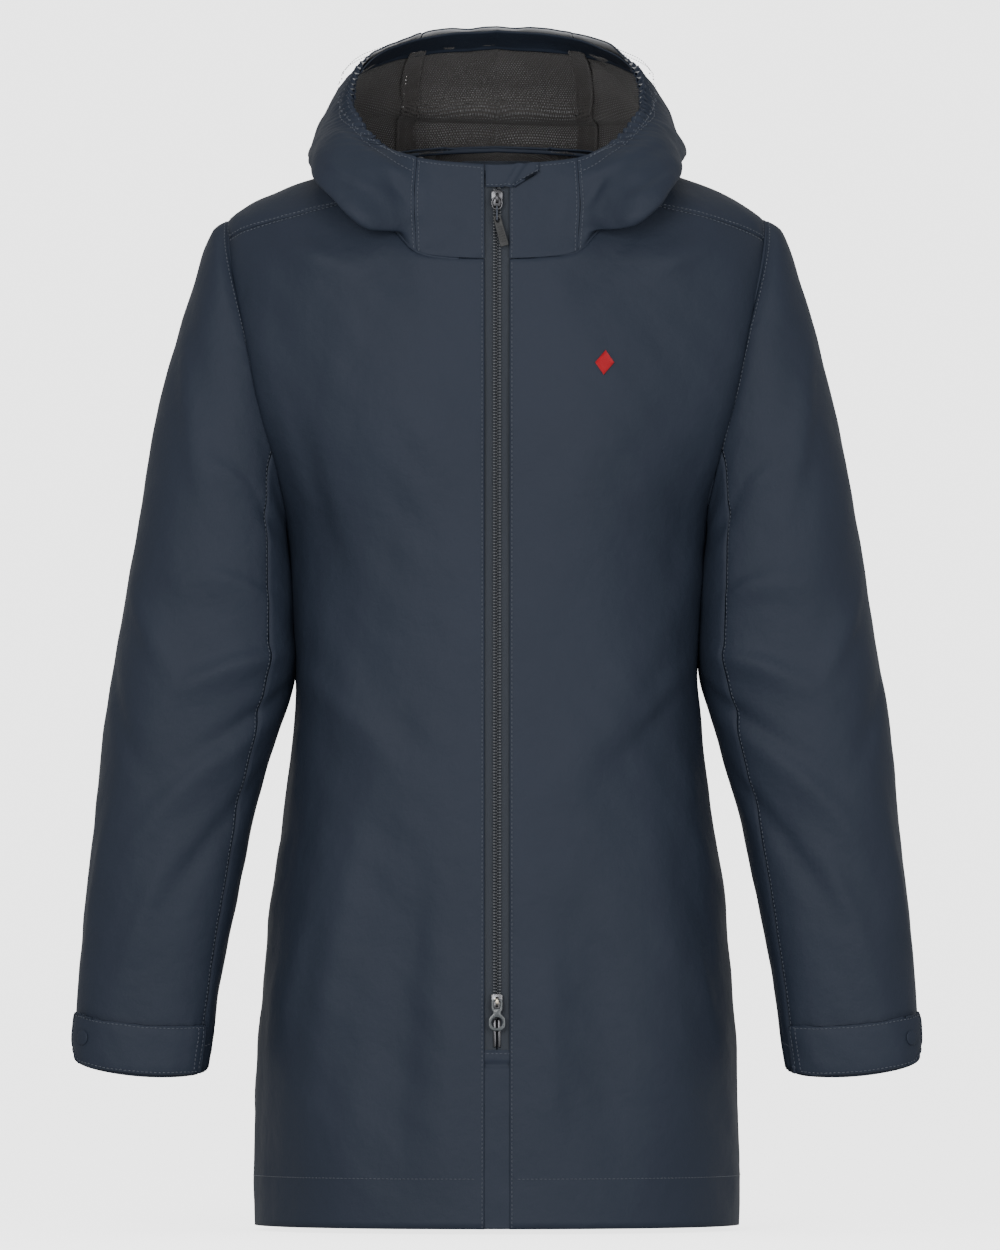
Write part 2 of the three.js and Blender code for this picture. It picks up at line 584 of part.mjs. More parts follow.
function buildSmallParts() {
  const frontSpot = (u, v) => {
    const angle = THREE.MathUtils.radToDeg(Math.asin(EMBLEM.x / smooth(BODY, EMBLEM.height)[1]));
    return bodyPoint(angle + 10 * (u - 0.5), EMBLEM.height + 40 * (v - 0.5));
  };
  const lozenge = new THREE.Shape([
    new THREE.Vector2(0, -EMBLEM.tall / 2),
    new THREE.Vector2(EMBLEM.wide / 2, 0),
    new THREE.Vector2(0, EMBLEM.tall / 2),
    new THREE.Vector2(-EMBLEM.wide / 2, 0),
  ]);
  const emblem = new THREE.ExtrudeGeometry(lozenge, { depth: EMBLEM.thick, bevelEnabled: false });
  add("emblem", emblem.applyMatrix4(spot(frontSpot, 0.5, 0.5, 0.5)), redThread);

  const neckBand = (u, v) => bodyPoint(lerp(150, 210, u), lerp(843, 855, v));
  add("neck_tape", sheetGeometry(neckBand, 8, 1, -CLOTH - 2.6, -CLOTH - 1.6), tapeWeave);
  // The hanger loop: a strap bowed away from the back of the neck, sewn down at both ends.
  const strap = (u, v) => {
    const x = LOOP.span * (0.5 - u);
    return vec(x, LOOP.ends - LOOP.stand * Math.sin(Math.PI * u) ** 2, LOOP.height + LOOP.wide * v);
  };
  add("hang_loop", sheetGeometry(strap, 10, 1, -LOOP.thick / 2, LOOP.thick / 2), tapeWeave);
}

buildBody();
buildBodyLining();
buildSleeves();
buildHood();
buildZip();
buildGarage();
buildCuffs();
buildSmallParts();
jacket.add(closure);

// The origin sits under the middle of the hanger loop.
const root = new THREE.Group();
jacket.position.set(0, LOOP.stand - LOOP.ends, -LOOP.height);
root.add(jacket);
export default root;
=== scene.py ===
import json
import math
import bmesh
import bpy
import numpy as np
from mathutils import Matrix, Vector


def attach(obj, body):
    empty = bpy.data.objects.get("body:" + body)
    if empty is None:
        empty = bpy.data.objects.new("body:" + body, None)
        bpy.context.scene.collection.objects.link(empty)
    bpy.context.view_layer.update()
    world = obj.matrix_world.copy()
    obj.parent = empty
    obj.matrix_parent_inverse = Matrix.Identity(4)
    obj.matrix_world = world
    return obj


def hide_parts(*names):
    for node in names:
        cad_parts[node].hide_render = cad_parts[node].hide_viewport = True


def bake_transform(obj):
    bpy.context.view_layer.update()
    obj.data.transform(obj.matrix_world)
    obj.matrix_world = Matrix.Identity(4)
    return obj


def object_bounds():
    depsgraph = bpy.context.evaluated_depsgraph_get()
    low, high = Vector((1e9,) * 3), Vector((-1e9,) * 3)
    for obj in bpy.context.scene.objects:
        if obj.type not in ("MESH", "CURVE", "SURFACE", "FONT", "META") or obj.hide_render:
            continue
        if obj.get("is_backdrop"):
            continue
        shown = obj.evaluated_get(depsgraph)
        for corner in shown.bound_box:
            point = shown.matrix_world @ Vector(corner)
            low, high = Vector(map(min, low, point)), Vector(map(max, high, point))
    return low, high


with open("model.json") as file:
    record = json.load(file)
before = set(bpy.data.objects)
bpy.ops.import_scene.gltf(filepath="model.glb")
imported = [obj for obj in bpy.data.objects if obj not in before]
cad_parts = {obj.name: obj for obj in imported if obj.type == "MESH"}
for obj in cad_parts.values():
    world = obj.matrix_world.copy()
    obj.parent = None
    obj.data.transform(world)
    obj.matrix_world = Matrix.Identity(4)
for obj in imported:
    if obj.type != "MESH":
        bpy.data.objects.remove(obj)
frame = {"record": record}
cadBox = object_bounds()
print("frame loaded")

# Shapes are worked out in millimetres above the hem, x to the wearer's left and -y to the front.
mounts = {m["name"]: np.array(m["pos_m"]) for m in frame["record"]["mounts"]}
hemOrigin = mounts["neck_opening"] - np.array([0, -0.020, 0.856])


def toRow(points):
    return np.asarray(points, float) / 1000 + hemOrigin


zipLine = {"atHem": 149, "lean": 0.0634, "slot": 10}
neckFront = 774
bodySections = [  # height, half width, front depth above the neck seam, back depth
    (0, 194, 149, 138), (120, 192, 141, 140), (260, 182, 132, 130), (340, 171, 127, 117),
    (430, 161, 121, 107), (480, 160, 118, 106), (560, 168, 113, 112), (600, 183, 111, 117),
    (640, 200, 108, 120), (680, 214, 105, 119), (740, 223, 102, 112), (774, 223, 100, 104),
    (800, 218, 87, 94), (809, 212, 82, 90), (820, 193, 76, 84), (832, 164, 69, 78),
    (845, 125, 61, 70), (856, 88, 54, 64), (866, 50, 48, 58),
]
bust = {"out": 9, "x": 88, "height": 640, "wide": 62, "tall": 95}
armholeOval = {"middle": 683, "half": 123, "angle": 28}
neckSeam = [  # degrees from centre front, height
    (0, 774), (10, 775.5), (17, 781), (21, 796), (26, 815), (30, 828), (50, 846), (90, 856),
    (140, 862), (180, 864),
]
shoulderFront = {"neck": 30, "middle": (46, 811), "arm": -30}
shoulderBack = {"neck": 126, "middle": (116, 827), "arm": 30}
sleeveRings = [  # share of the way down, outer x and height, inner x and height, half depth, y
    (0, 216, 806, 168, 560, 50, 0), (0.05, 226, 797, 170.5, 551, 54, 0),
    (0.12, 239, 766, 169.5, 540, 58, 0), (0.24, 257, 709, 167, 515, 61, -1),
    (0.38, 278, 620, 165, 480, 63, -3), (0.52, 297, 510, 164, 437, 63, -6),
    (0.66, 314, 405, 182, 372, 60, -10), (0.79, 325, 300, 202, 292, 54, -16),
    (0.9, 334, 213, 219, 205, 48, -22), (1, 339, 136, 231, 128, 43, -28),
]
cuffDip = 12
hoodColumns = [  # share from centre front to centre back, then points from the neck seam over to the rim
    (0, [(0, -99.9, 774), (0, -98.9, 789), (0, -98, 804),
        (0, -97, 819), (0, -96, 834), (0, -95.2, 849)]),
    (0.05, [(20, -99.4, 775), (20, -98.5, 790), (20, -97.6, 805),
        (20, -96.5, 820), (20, -95.4, 835), (20, -94.4, 850)]),
    (0.16, [(64, -92, 781), (65, -93, 796), (66, -94, 811),
        (66, -93, 826), (65, -90, 841), (64, -85, 855)]),
    (0.28, [(86, -63, 831), (98, -97, 800), (113, -110, 806),
        (116, -105, 832), (106, -86, 856), (93, -67, 868)]),
    (0.41, [(92, -32, 853), (121, -65, 833), (143, -83, 834),
        (141, -72, 857), (126, -56, 875), (108, -43, 883)]),
    (0.54, [(90, 5, 862), (125, -3, 858), (150, -8, 857),
        (143, -4, 875), (131, 0, 893), (116, -12, 904)]),
    (0.7, [(68, 42, 866), (108, 64, 848), (138, 78, 852),
        (134, 80, 886), (121, 62, 918), (106, 32, 936)]),
    (0.85, [(44, 53, 868), (60, 100, 840), (74, 134, 844),
        (77, 144, 884), (72, 122, 932), (61, 84, 957)]),
    (1, [(0, 60, 869), (0, 108, 838), (0, 147, 842),
        (0, 158, 884), (0, 138, 938), (0, 100, 963)]),
]


# A cubic through values at places; values may differ from point to point.
def smooth(places, values, at):
    places, values, at = np.asarray(places, float), np.asarray(values, float), np.asarray(at, float)
    if values.ndim == 2:
        values = np.repeat(values[:, None, :], len(at), axis=1)
    i = np.clip(np.searchsorted(places, at, side="right") - 1, 0, len(places) - 2)
    pick = np.arange(len(at))
    low, high = np.maximum(i - 1, 0), np.minimum(i + 2, len(places) - 1)
    span = (places[i + 1] - places[i])[:, None]
    t = np.clip((at - places[i])[:, None] / span, 0, 1)
    a, b = values[i, pick], values[i + 1, pick]
    slopeA = (b - values[low, pick]) / (places[i + 1] - places[low])[:, None] * span
    slopeB = (values[high, pick] - a) / (places[high] - places[i])[:, None] * span
    atStart = (2 * t**3 - 3 * t**2 + 1) * a + (t**3 - 2 * t**2 + t) * slopeA
    return atStart + (3 * t**2 - 2 * t**3) * b + (t**3 - t**2) * slopeB


def bodyPoint(angle, height):
    angle, height = np.broadcast_arrays(np.asarray(angle, float), np.asarray(height, float))
    table = np.array(bodySections, float)
    wide, front, back = smooth(table[:, 0], table[:, 1:], height).T
    turn = np.radians(angle)
    square = 1 + 0.035 * np.sin(2 * turn) ** 2
    zipDepth = zipLine["atHem"] - zipLine["lean"] * height
    depth = np.where(np.cos(turn) < 0, back, np.where(height < neckFront, zipDepth, front))
    x = wide * np.sin(turn) * square
    beside = (np.abs(x) - bust["x"]) / bust["wide"]
    above = (height - bust["height"]) / bust["tall"]
    swell = bust["out"] * np.exp(-(beside**2) - above**2) * np.maximum(0, np.cos(turn))
    return np.stack([x, -depth * np.cos(turn) * square - swell, height], axis=-1)


def neckHeight(angle):
    angle = np.minimum(angle, 360 - np.asarray(angle, float))
    table = np.array(neckSeam, float)
    return smooth(table[:, 0], table[:, 1:], np.ravel(angle))[:, 0].reshape(np.shape(angle))


def armhole(turn):
    turn = np.radians(np.asarray(turn, float))
    height = armholeOval["middle"] + armholeOval["half"] * np.cos(turn)
    return np.stack([90 + armholeOval["angle"] * np.sin(turn), height], axis=-1)


def shoulderSeam(seam, s):
    atNeck = (seam["neck"], float(neckHeight(np.array([seam["neck"]]))[0]))
    return smooth([0, 0.45, 1], [atNeck, seam["middle"], tuple(armhole(seam["arm"]))], s)


armpitRow = 0.375


def sideEdge(seam, v):
    armpit = armholeOval["middle"] - armholeOval["half"]
    below = np.stack([np.full_like(v, 90), armpit * v / armpitRow], axis=-1)
    start = 180 * np.sign(seam["arm"])
    above = armhole(start + (seam["arm"] - start) * (v - armpitRow) / (1 - armpitRow))
    return np.where((v <= armpitRow)[:, None], below, above)


def rowRise(v):
    return np.where(v <= armpitRow, 0.7 * v / armpitRow, 0.7 + 0.3 * (v - armpitRow) / (1 - armpitRow))


# A patch between four edges, each an array of body angle and height.
def patch(bottom, top, left, right):
    def at(u, v):
        b, t, l, r = bottom(u), top(u), left(v), right(v)
        zero, one = np.zeros(1), np.ones(1)
        p00, p10, p01, p11 = bottom(zero), bottom(one), top(zero), top(one)
        u, v = u[:, None], v[:, None]
        edges = (1 - v) * b + v * t + (1 - u) * l + u * r
        return edges - (1 - v) * ((1 - u) * p00 + u * p10) - v * ((1 - u) * p01 + u * p11)

    return at


def frontTop(u):
    neckAngle = shoulderFront["neck"] * u / 0.4
    onNeck = np.stack([neckAngle, neckHeight(2.6 + 0.971 * neckAngle)], axis=-1)
    return np.where((u > 0.4)[:, None], shoulderSeam(shoulderFront, np.clip((u - 0.4) / 0.6, 0, 1)), onNeck)


frontPatch = patch(
    lambda u: np.stack([90 * u, 0 * u], axis=-1),
    frontTop,
    lambda v: np.stack([0 * v, neckFront * rowRise(v)], axis=-1),
    lambda v: sideEdge(shoulderFront, v),
)


def frontSurface(u, v):
    angle, height = frontPatch(u, v).T
    table = np.array(bodySections, float)
    wide = smooth(table[:, 0], table[:, 1:], height)[:, 0]
    atZip = np.degrees(np.arcsin(zipLine["slot"] / wide))
    return bodyPoint(atZip + (90 - atZip) * angle / 90, height)


def mirrorAngle(pairs):
    return np.stack([360 - pairs[:, 0], pairs[:, 1]], axis=-1)


def backTop(u):
    near = shoulderSeam(shoulderBack, np.clip(1 - u / 0.3, 0, 1))
    far = mirrorAngle(shoulderSeam(shoulderBack, np.clip(1 - (1 - u) / 0.3, 0, 1)))
    angle = shoulderBack["neck"] + (360 - 2 * shoulderBack["neck"]) * (u - 0.3) / 0.4
    middle = np.stack([angle, neckHeight(angle)], axis=-1)
    return np.where((u < 0.3)[:, None], near, np.where((u > 0.7)[:, None], far, middle))


backPatch = patch(
    lambda u: np.stack([90 + 180 * u, 0 * u], axis=-1),
    backTop,
    lambda v: sideEdge(shoulderBack, v),
    lambda v: mirrorAngle(sideEdge(shoulderBack, v)),
)


def backSurface(u, v):
    return bodyPoint(*backPatch(u, v).T)


def shoulderNeck(u):
    angle = shoulderFront["neck"] + (shoulderBack["neck"] - shoulderFront["neck"]) * u
    return np.stack([angle, neckHeight(angle)], axis=-1)


shoulderPatch = patch(
    lambda u: armhole(shoulderFront["arm"] + (shoulderBack["arm"] - shoulderFront["arm"]) * u),
    shoulderNeck,
    lambda v: shoulderSeam(shoulderFront, 1 - v),
    lambda v: shoulderSeam(shoulderBack, 1 - v),
)


def shoulderSurface(u, v):
    return bodyPoint(*shoulderPatch(u, v).T)


def sleeveRing(turn, down):
    table = np.array(sleeveRings, float)
    outX, outZ, inX, inZ, depth, y = smooth(table[:, 0], table[:, 1:], down).T
    c, s = np.cos(np.radians(turn)), np.sin(np.radians(turn))
    square = 1 + 0.05 * (2 * s * c) ** 2
    dip = cuffDip * np.maximum(0, s) * down**6
    x = (outX + inX) / 2 + (outX - inX) / 2 * c * square
    z = (outZ + inZ) / 2 + (outZ - inZ) / 2 * c * square - dip
    return np.stack([x, y - depth * s * square, z], axis=-1)


def sleeveSurface(turn, down):
    turn, down = np.broadcast_arrays(np.asarray(turn, float), np.asarray(down, float))
    fade = np.clip(1 - down / 0.3, 0, 1) ** 2
    miss = bodyPoint(*armhole(-turn).T) - sleeveRing(turn, 0 * down)
    return sleeveRing(turn, down) + miss * fade[:, None]


sleeveSeam = {"atTop": 120, "wider": 26}  # degrees round from the outer edge, and how much more at the cuff


def sleeveSeamTurn(v):
    return sleeveSeam["atTop"] + sleeveSeam["wider"] * v


def upperSleeve(u, v):
    return sleeveSurface(sleeveSeamTurn(v) * (2 * u - 1), v)


def underSleeve(u, v):
    seam = sleeveSeamTurn(v)
    return sleeveSurface(seam + (360 - 2 * seam) * u, v)


def hoodDrape(u, v):
    steps = np.linspace(0, 1, 6)
    columns = np.stack([smooth(steps, column, v) for _, column in hoodColumns])
    return smooth([at for at, _ in hoodColumns], columns, u)


seamAngles = np.linspace(0, 180, 721)
seamLine = bodyPoint(seamAngles, neckHeight(seamAngles))
seamShares = np.linspace(0, 1, 101)
seamGap = hoodDrape(seamShares, 0 * seamShares)
seamGap = np.array([seamLine[np.argmin(np.linalg.norm(seamLine - p, axis=1))] - p for p in seamGap])


# The hood's foot is drawn on to the neck seam, so that no gap shows there.
def hoodPoint(u, v):
    u, v = np.broadcast_arrays(np.asarray(u, float), np.asarray(v, float))
    pull = np.stack([np.interp(u, seamShares, seamGap[:, k]) for k in range(3)], axis=-1)
    return hoodDrape(u, v) + pull * (np.clip(1 - v / 0.3, 0, 1) ** 2)[:, None]


# The part of the hood behind `edge`, from the wearer's left over the centre back to the right.
def hoodBack(edge):
    def surface(u, v):
        across = 2 * u - 1
        p = hoodPoint(1 + (edge - 1) * np.abs(across), v)
        p[:, 0] *= -np.sign(across)
        return p

    return surface


def part(surface, u0, u1, v0, v1):
    return lambda u, v: surface(u0 + (u1 - u0) * u, v0 + (v1 - v0) * v)


def mirrored(surface):
    def other(u, v):
        p = np.array(surface(1 - u, v))
        p[:, 0] *= -1
        return p

    return other


# The wearer's left as it is, the right mirrored.
def onSide(side, surface):
    return mirrored(surface) if side == "right" else surface


# Slow, uneven waves through space, from -1 to 1.
def wave(p, lengths, seed):
    rng = np.random.default_rng(seed)
    total = 0
    for length in lengths:
        direction = rng.normal(size=(3, 3))
        direction /= np.linalg.norm(direction, axis=1)[:, None]
        phase = rng.uniform(0, 6.28, 3)
        total = total + sum(np.sin(p @ d * 6.283 / length + f) for d, f in zip(direction, phase)) / 3
    return total / len(lengths)


# The relief of a piece that only ripples.
def ripple(tall, lengths, seed):
    return lambda p, outward, edges, u, v: tall * wave(p, lengths, seed)


# A soft ridge (or, where the height is negative, a valley) from one point to another, tapered at its ends.
def crease(x, z, line):
    x0, z0, x1, z1, wide, tall = line
    way = np.array([x1 - x0, z1 - z0], float)
    length = np.hypot(*way)
    t = ((x - x0) * way[0] + (z - z0) * way[1]) / length**2
    across = ((x - x0) * way[1] - (z - z0) * way[0]) / length
    taper = np.clip(np.sin(np.pi * np.clip(t * 0.8 + 0.1, 0, 1)), 0, 1) ** 1.5
    side = np.where(across > 0, 1.0, 1.9)
    return tall * taper * np.exp(-((across * side / wide) ** 2))


bodyCreases = {
    "front": [  # x, height to x, height, half width, how far out
        (196, 735, 150, 560, 26, 3.2), (182, 700, 128, 480, 24, -2.6), (-196, 735, -150, 560, 26, 3.2),
        (-180, 690, -120, 500, 22, -2.6), (150, 520, 60, 350, 30, 2.6), (-150, 500, -70, 330, 28, 2.4),
        (158, 460, 90, 380, 14, 2.2), (-158, 455, -96, 390, 14, 2.0), (120, 330, 150, 60, 34, 3.4),
        (-110, 340, -160, 70, 34, 3.2), (70, 280, 95, 40, 30, -2.4), (-64, 300, -85, 30, 30, -2.6),
        (40, 240, 44, 60, 18, 1.8), (-36, 200, -40, 20, 18, 1.6), (180, 790, 120, 760, 12, 1.6),
        (-180, 792, -118, 766, 12, 1.8), (110, 800, 60, 740, 22, -1.8), (-110, 800, -60, 742, 22, -1.6),
        (150, 250, 178, 120, 16, 1.8), (-148, 260, -176, 130, 16, 1.7),
    ],
    "back": [
        (150, 560, 40, 470, 22, 3.0), (-150, 560, -40, 470, 22, 3.0), (150, 500, 20, 440, 16, -2.6),
        (-150, 500, -20, 440, 16, -2.6), (90, 430, 120, 80, 36, 3.4), (-90, 430, -120, 80, 36, 3.4),
        (0, 400, 10, 60, 34, -3.0), (190, 740, 120, 640, 18, 2.6), (-190, 740, -120, 640, 18, 2.6),
        (50, 330, 60, 40, 26, 2.4), (-50, 330, -58, 40, 26, 2.2),
    ],
}


waist = {"height": 505, "bodyPress": 3.6, "bodyTall": 66, "sleevePress": 5, "sleeveTall": 68}


# Folds of the body; at the waist the sides press out against the sleeves.
def bodyRelief(p, outward, edges, u, v):
    frontness = np.clip(0.3 - outward[:, 1] * 1.6, 0, 1)
    backness = np.clip(0.3 + outward[:, 1] * 1.6, 0, 1)
    total = sum(crease(p[:, 0], p[:, 2], c) for c in bodyCreases["front"]) * frontness
    total = total + sum(crease(p[:, 0], p[:, 2], c) for c in bodyCreases["back"]) * backness
    calmZip = np.clip((np.abs(p[:, 0]) - 10) / 50, 0, 1) ** 0.7
    calm = np.where(p[:, 1] < 0, calmZip, 1)
    total = total + 1.3 * wave(p, (150, 95), 3) + 0.5 * wave(p, (46, 31), 5)
    near = np.exp(-(((p[:, 2] - waist["height"]) / waist["bodyTall"]) ** 2))
    press = waist["bodyPress"] * near * np.abs(outward[:, 0]) ** 4
    return 2.1 * total * calm * np.clip(p[:, 2] / 50 + 0.35, 0, 1) + press


sleeveCreases = [  # turn, share down to turn, share down, half width in mm, how far out
    (150, 0.46, 70, 0.62, 12, 5.0), (165, 0.52, 90, 0.7, 11, -4.0), (150, 0.58, 60, 0.78, 13, 4.6),
    (160, 0.66, 80, 0.86, 12, -3.2), (140, 0.36, 50, 0.5, 14, 3.0), (20, 0.5, 75, 0.6, 12, 3.4),
    (10, 0.6, 70, 0.72, 12, -2.8), (30, 0.22, 80, 0.38, 20, 2.6), (120, 0.2, 60, 0.34, 16, 2.8),
    (140, 0.12, 95, 0.3, 12, -3.0), (100, 0.74, 60, 0.93, 16, 2.6), (40, 0.72, 20, 0.9, 14, 2.2),
    (-150, 0.48, -70, 0.6, 14, 4.6), (-160, 0.56, -60, 0.7, 13, -3.6), (-140, 0.64, -50, 0.8, 14, 3.8),
    (-20, 0.3, -80, 0.4, 18, 3.0), (-120, 0.22, -60, 0.36, 16, 2.8), (-30, 0.7, -90, 0.86, 15, 2.8),
]


sleeveScale = {"long": 690, "perDegree": 1.05}  # mm down the sleeve, and mm round it for each degree


def sleeveRelief(seed):
    long, perDegree = sleeveScale["long"], sleeveScale["perDegree"]

    def relief(p, outward, edges, turn, down):
        across = ((turn + 180) % 360 - 180) * perDegree
        total = sum(
            crease(across, down * long, (t0 * perDegree, d0 * long, t1 * perDegree, d1 * long, wide, tall))
            for t0, d0, t1, d1, wide, tall in sleeveCreases
        )
        calm = np.clip(down / 0.06, 0.25, 1) * np.clip((1 - down) / 0.09, 0.15, 1)
        inward = np.clip(-outward[:, 0] * np.sign(p[:, 0]), 0, 1)
        near = np.exp(-(((p[:, 2] - waist["height"]) / waist["sleeveTall"]) ** 2))
        press = waist["sleevePress"] * near * inward**3
        outer = np.clip(np.cos(np.radians(turn)), 0, 1) ** 2
        cap = 2.5 * np.exp(-(((down - 0.07) / 0.06) ** 2)) * outer * np.clip(down / 0.05, 0, 1) ** 2
        gather = np.sin(6.283 * (p[:, 1] + 0.5 * p[:, 0]) / 5.5) * (np.abs(turn - 180) < 72)
        gather = gather * np.exp(-((1 - down) * long - 16) ** 2 / 340)
        folds = (1.05 * total + 1.6 * wave(p, (120, 70), seed) + 0.6 * wave(p, (38, 26), seed + 1)) * calm
        return folds + press + cap + gather

    return relief


def finishMesh(name, bm, *materials):
    mesh = bpy.data.meshes.new(name)
    bm.to_mesh(mesh)
    bm.free()
    obj = bpy.data.objects.new(name, mesh)
    bpy.context.scene.collection.objects.link(obj)
    for material in materials:
        mesh.materials.append(material)
    mesh.polygons.foreach_set("use_smooth", [True] * len(mesh.polygons))
    return obj


# Places from 0 to 1 with extra ones close to the ends that have a rolled edge.
def spaced(count, clustered):
    places = np.linspace(0, 1, count + 1)
    close = [1 / count * share for share in (0.2, 0.45, 0.7)]
    extra = (close if clustered[0] else []) + ([1 - c for c in close] if clustered[1] else [])
    return np.unique(np.concatenate([places, extra]))


# A panel: its grid of points and outward directions after folds and rolled edges, and a lookup on it.
class Cloth:
    def __init__(self, surface, columns, rows, relief=None, rolled="lrbt", roll=0.8, pucker=0.35, seed=0):
        self.us = spaced(columns, ("l" in rolled, "r" in rolled))
        self.vs = spaced(rows, ("b" in rolled, "t" in rolled))
        uu, vv = np.meshgrid(self.us, self.vs)
        self.shape = uu.shape
        base = self.sample(surface, uu.ravel(), vv.ravel())
        outward = self.normals(base)
        alongU, alongV = self.alongU, self.alongV = self.lengths(base)
        self.edges = {"l": alongU, "r": alongU[:, -1:] - alongU, "b": alongV, "t": alongV[-1:, :] - alongV}
        flat = base.reshape(-1, 3)
        amount = np.zeros(len(flat))
        if relief:
            amount = amount + relief(flat, outward.reshape(-1, 3), self.edges, uu.ravel(), vv.ravel())
        for side in rolled:
            d = self.edges[side].ravel()
            amount = amount - roll * np.exp(-((d / 1.8) ** 2)) - 0.35 * roll * np.exp(-((d / 5) ** 2))
            if pucker:
                amount = amount + pucker * np.exp(-d / 9) * wave(flat, (17, 11), seed + 11)
        self.points = (flat + outward.reshape(-1, 3) * amount[:, None]).reshape(base.shape)
        self.outward = self.normals(self.points)
        cutU, cutV = self.lengths(self.points)  # the flat size is read off the finished panel
        self.flatWide = float(np.percentile(cutU[:, -1], 90)) / 1000
        self.flatTall = float(np.percentile(cutV[-1, :], 90)) / 1000
        self.area = self.measure() / 1e6

    def sample(self, surface, u, v):
        return np.asarray(surface(u, v)).reshape(*self.shape, 3)

    def normals(self, p):
        du = np.gradient(p, self.us, axis=1)
        dv = np.gradient(p, self.vs, axis=0)
        n = np.cross(du, dv)
        return n / np.maximum(np.linalg.norm(n, axis=-1, keepdims=True), 1e-9)

    def lengths(self, p):
        stepU = np.linalg.norm(np.diff(p, axis=1), axis=-1)
        stepV = np.linalg.norm(np.diff(p, axis=0), axis=-1)
        alongU = np.concatenate([np.zeros((p.shape[0], 1)), np.cumsum(stepU, axis=1)], axis=1)
        alongV = np.concatenate([np.zeros((1, p.shape[1])), np.cumsum(stepV, axis=0)], axis=0)
        return alongU, alongV

    def measure(self):
        p = self.points
        a, b, c, d = p[:-1, :-1], p[:-1, 1:], p[1:, 1:], p[1:, :-1]
        tri = lambda x, y, z: np.linalg.norm(np.cross(y - x, z - x), axis=-1).sum() / 2
        return float(tri(a, b, c) + tri(a, c, d))

    # Points and outward directions at places u, v of the finished panel.
    def at(self, u, v):
        u, v = np.broadcast_arrays(np.asarray(u, float), np.asarray(v, float))
        i = np.clip(np.searchsorted(self.us, u) - 1, 0, len(self.us) - 2)
        j = np.clip(np.searchsorted(self.vs, v) - 1, 0, len(self.vs) - 2)
        s = ((u - self.us[i]) / (self.us[i + 1] - self.us[i]))[..., None]
        t = ((v - self.vs[j]) / (self.vs[j + 1] - self.vs[j]))[..., None]
        out = []
        for grid in (self.points, self.outward):
            low = grid[j, i] * (1 - s) + grid[j, i + 1] * s
            high = grid[j + 1, i] * (1 - s) + grid[j + 1, i + 1] * s
            out.append(low * (1 - t) + high * t)
        return out

    def build(self, name, material, thick=1.4, outset=0.0, inner=None):
        bm = bmesh.new()
        rows, columns = self.shape
        bmesh.ops.create_grid(bm, x_segments=columns - 1, y_segments=rows - 1, size=0.5)
        obj = finishMesh(name, bm, *([material, inner] if inner else [material]))
        mesh = obj.data
        grid = np.empty(len(mesh.vertices) * 3)
        mesh.vertices.foreach_get("co", grid)
        i = np.rint((grid[0::3] + 0.5) * (columns - 1)).astype(int)
        j = np.rint((grid[1::3] + 0.5) * (rows - 1)).astype(int)
        spots = toRow(self.points[j, i] + self.outward[j, i] * outset)
        mesh.vertices.foreach_set("co", spots.ravel())
        corner = np.empty(len(mesh.loops), dtype=int)
        mesh.loops.foreach_get("vertex_index", corner)
        layer = mesh.uv_layers.new(name="cloth")
        flat = np.stack([self.alongU[j, i], self.alongV[j, i]], axis=-1) / 1000
        layer.data.foreach_set("uv", flat[corner].ravel())
        mesh.update()
        if thick:
            solid = obj.modifiers.new("thickness", "SOLIDIFY")
            solid.thickness = thick / 1000
            solid.offset = -1
            solid.material_offset = 1 if inner else 0
        return obj

    # Places along a line that keeps `away` mm from one edge.
    def seamRow(self, side, away, start=0.0, end=1.0, count=240):
        t = np.linspace(start, end, count)
        distance = self.edges[side]
        if side in "lr":
            j = np.clip(np.searchsorted(self.vs, t) - 1, 0, len(self.vs) - 2)
            f = (t - self.vs[j]) / (self.vs[j + 1] - self.vs[j])
            rows = distance[j] * (1 - f)[:, None] + distance[j + 1] * f[:, None]
            order = 1 if side == "l" else -1
            u = np.array([np.interp(away, row[::order], self.us[::order]) for row in rows])
            return u, t
        i = np.clip(np.searchsorted(self.us, t) - 1, 0, len(self.us) - 2)
        f = (t - self.us[i]) / (self.us[i + 1] - self.us[i])
        rows = distance[:, i] * (1 - f) + distance[:, i + 1] * f
        order = 1 if side == "b" else -1
        v = np.array([np.interp(away, row[::order], self.vs[::order]) for row in rows.T])
        return t, v


# A shader value that takes ordinary arithmetic.
class Number:
    def __init__(self, shader, socket):
        self.shader, self.socket = shader, socket

    def math(self, operation, *others):
        return self.shader.node("ShaderNodeMath", {"operation": operation}, *([self] + list(others)))

    def __add__(self, other):
        return self.math("ADD", other)

    __radd__ = __add__

    def __sub__(self, other):
        return self.math("SUBTRACT", other)

    def __rsub__(self, other):
        return self.shader.node("ShaderNodeMath", {"operation": "SUBTRACT"}, other, self)

    def __mul__(self, other):
        return self.math("MULTIPLY", other)

    __rmul__ = __mul__

    def __truediv__(self, other):
        return self.math("DIVIDE", other)

    def __rtruediv__(self, other):
        return self.shader.node("ShaderNodeMath", {"operation": "DIVIDE"}, other, self)

    def sine(self):
        return self.math("SINE")

    def fraction(self):
        return self.math("FRACT")

    def root(self):
        return self.math("SQRT")

    def least(self, other):
        return self.math("MINIMUM", other)

    def most(self, other):
        return self.math("MAXIMUM", other)

    def above(self, other):
        return self.math("GREATER_THAN", other)


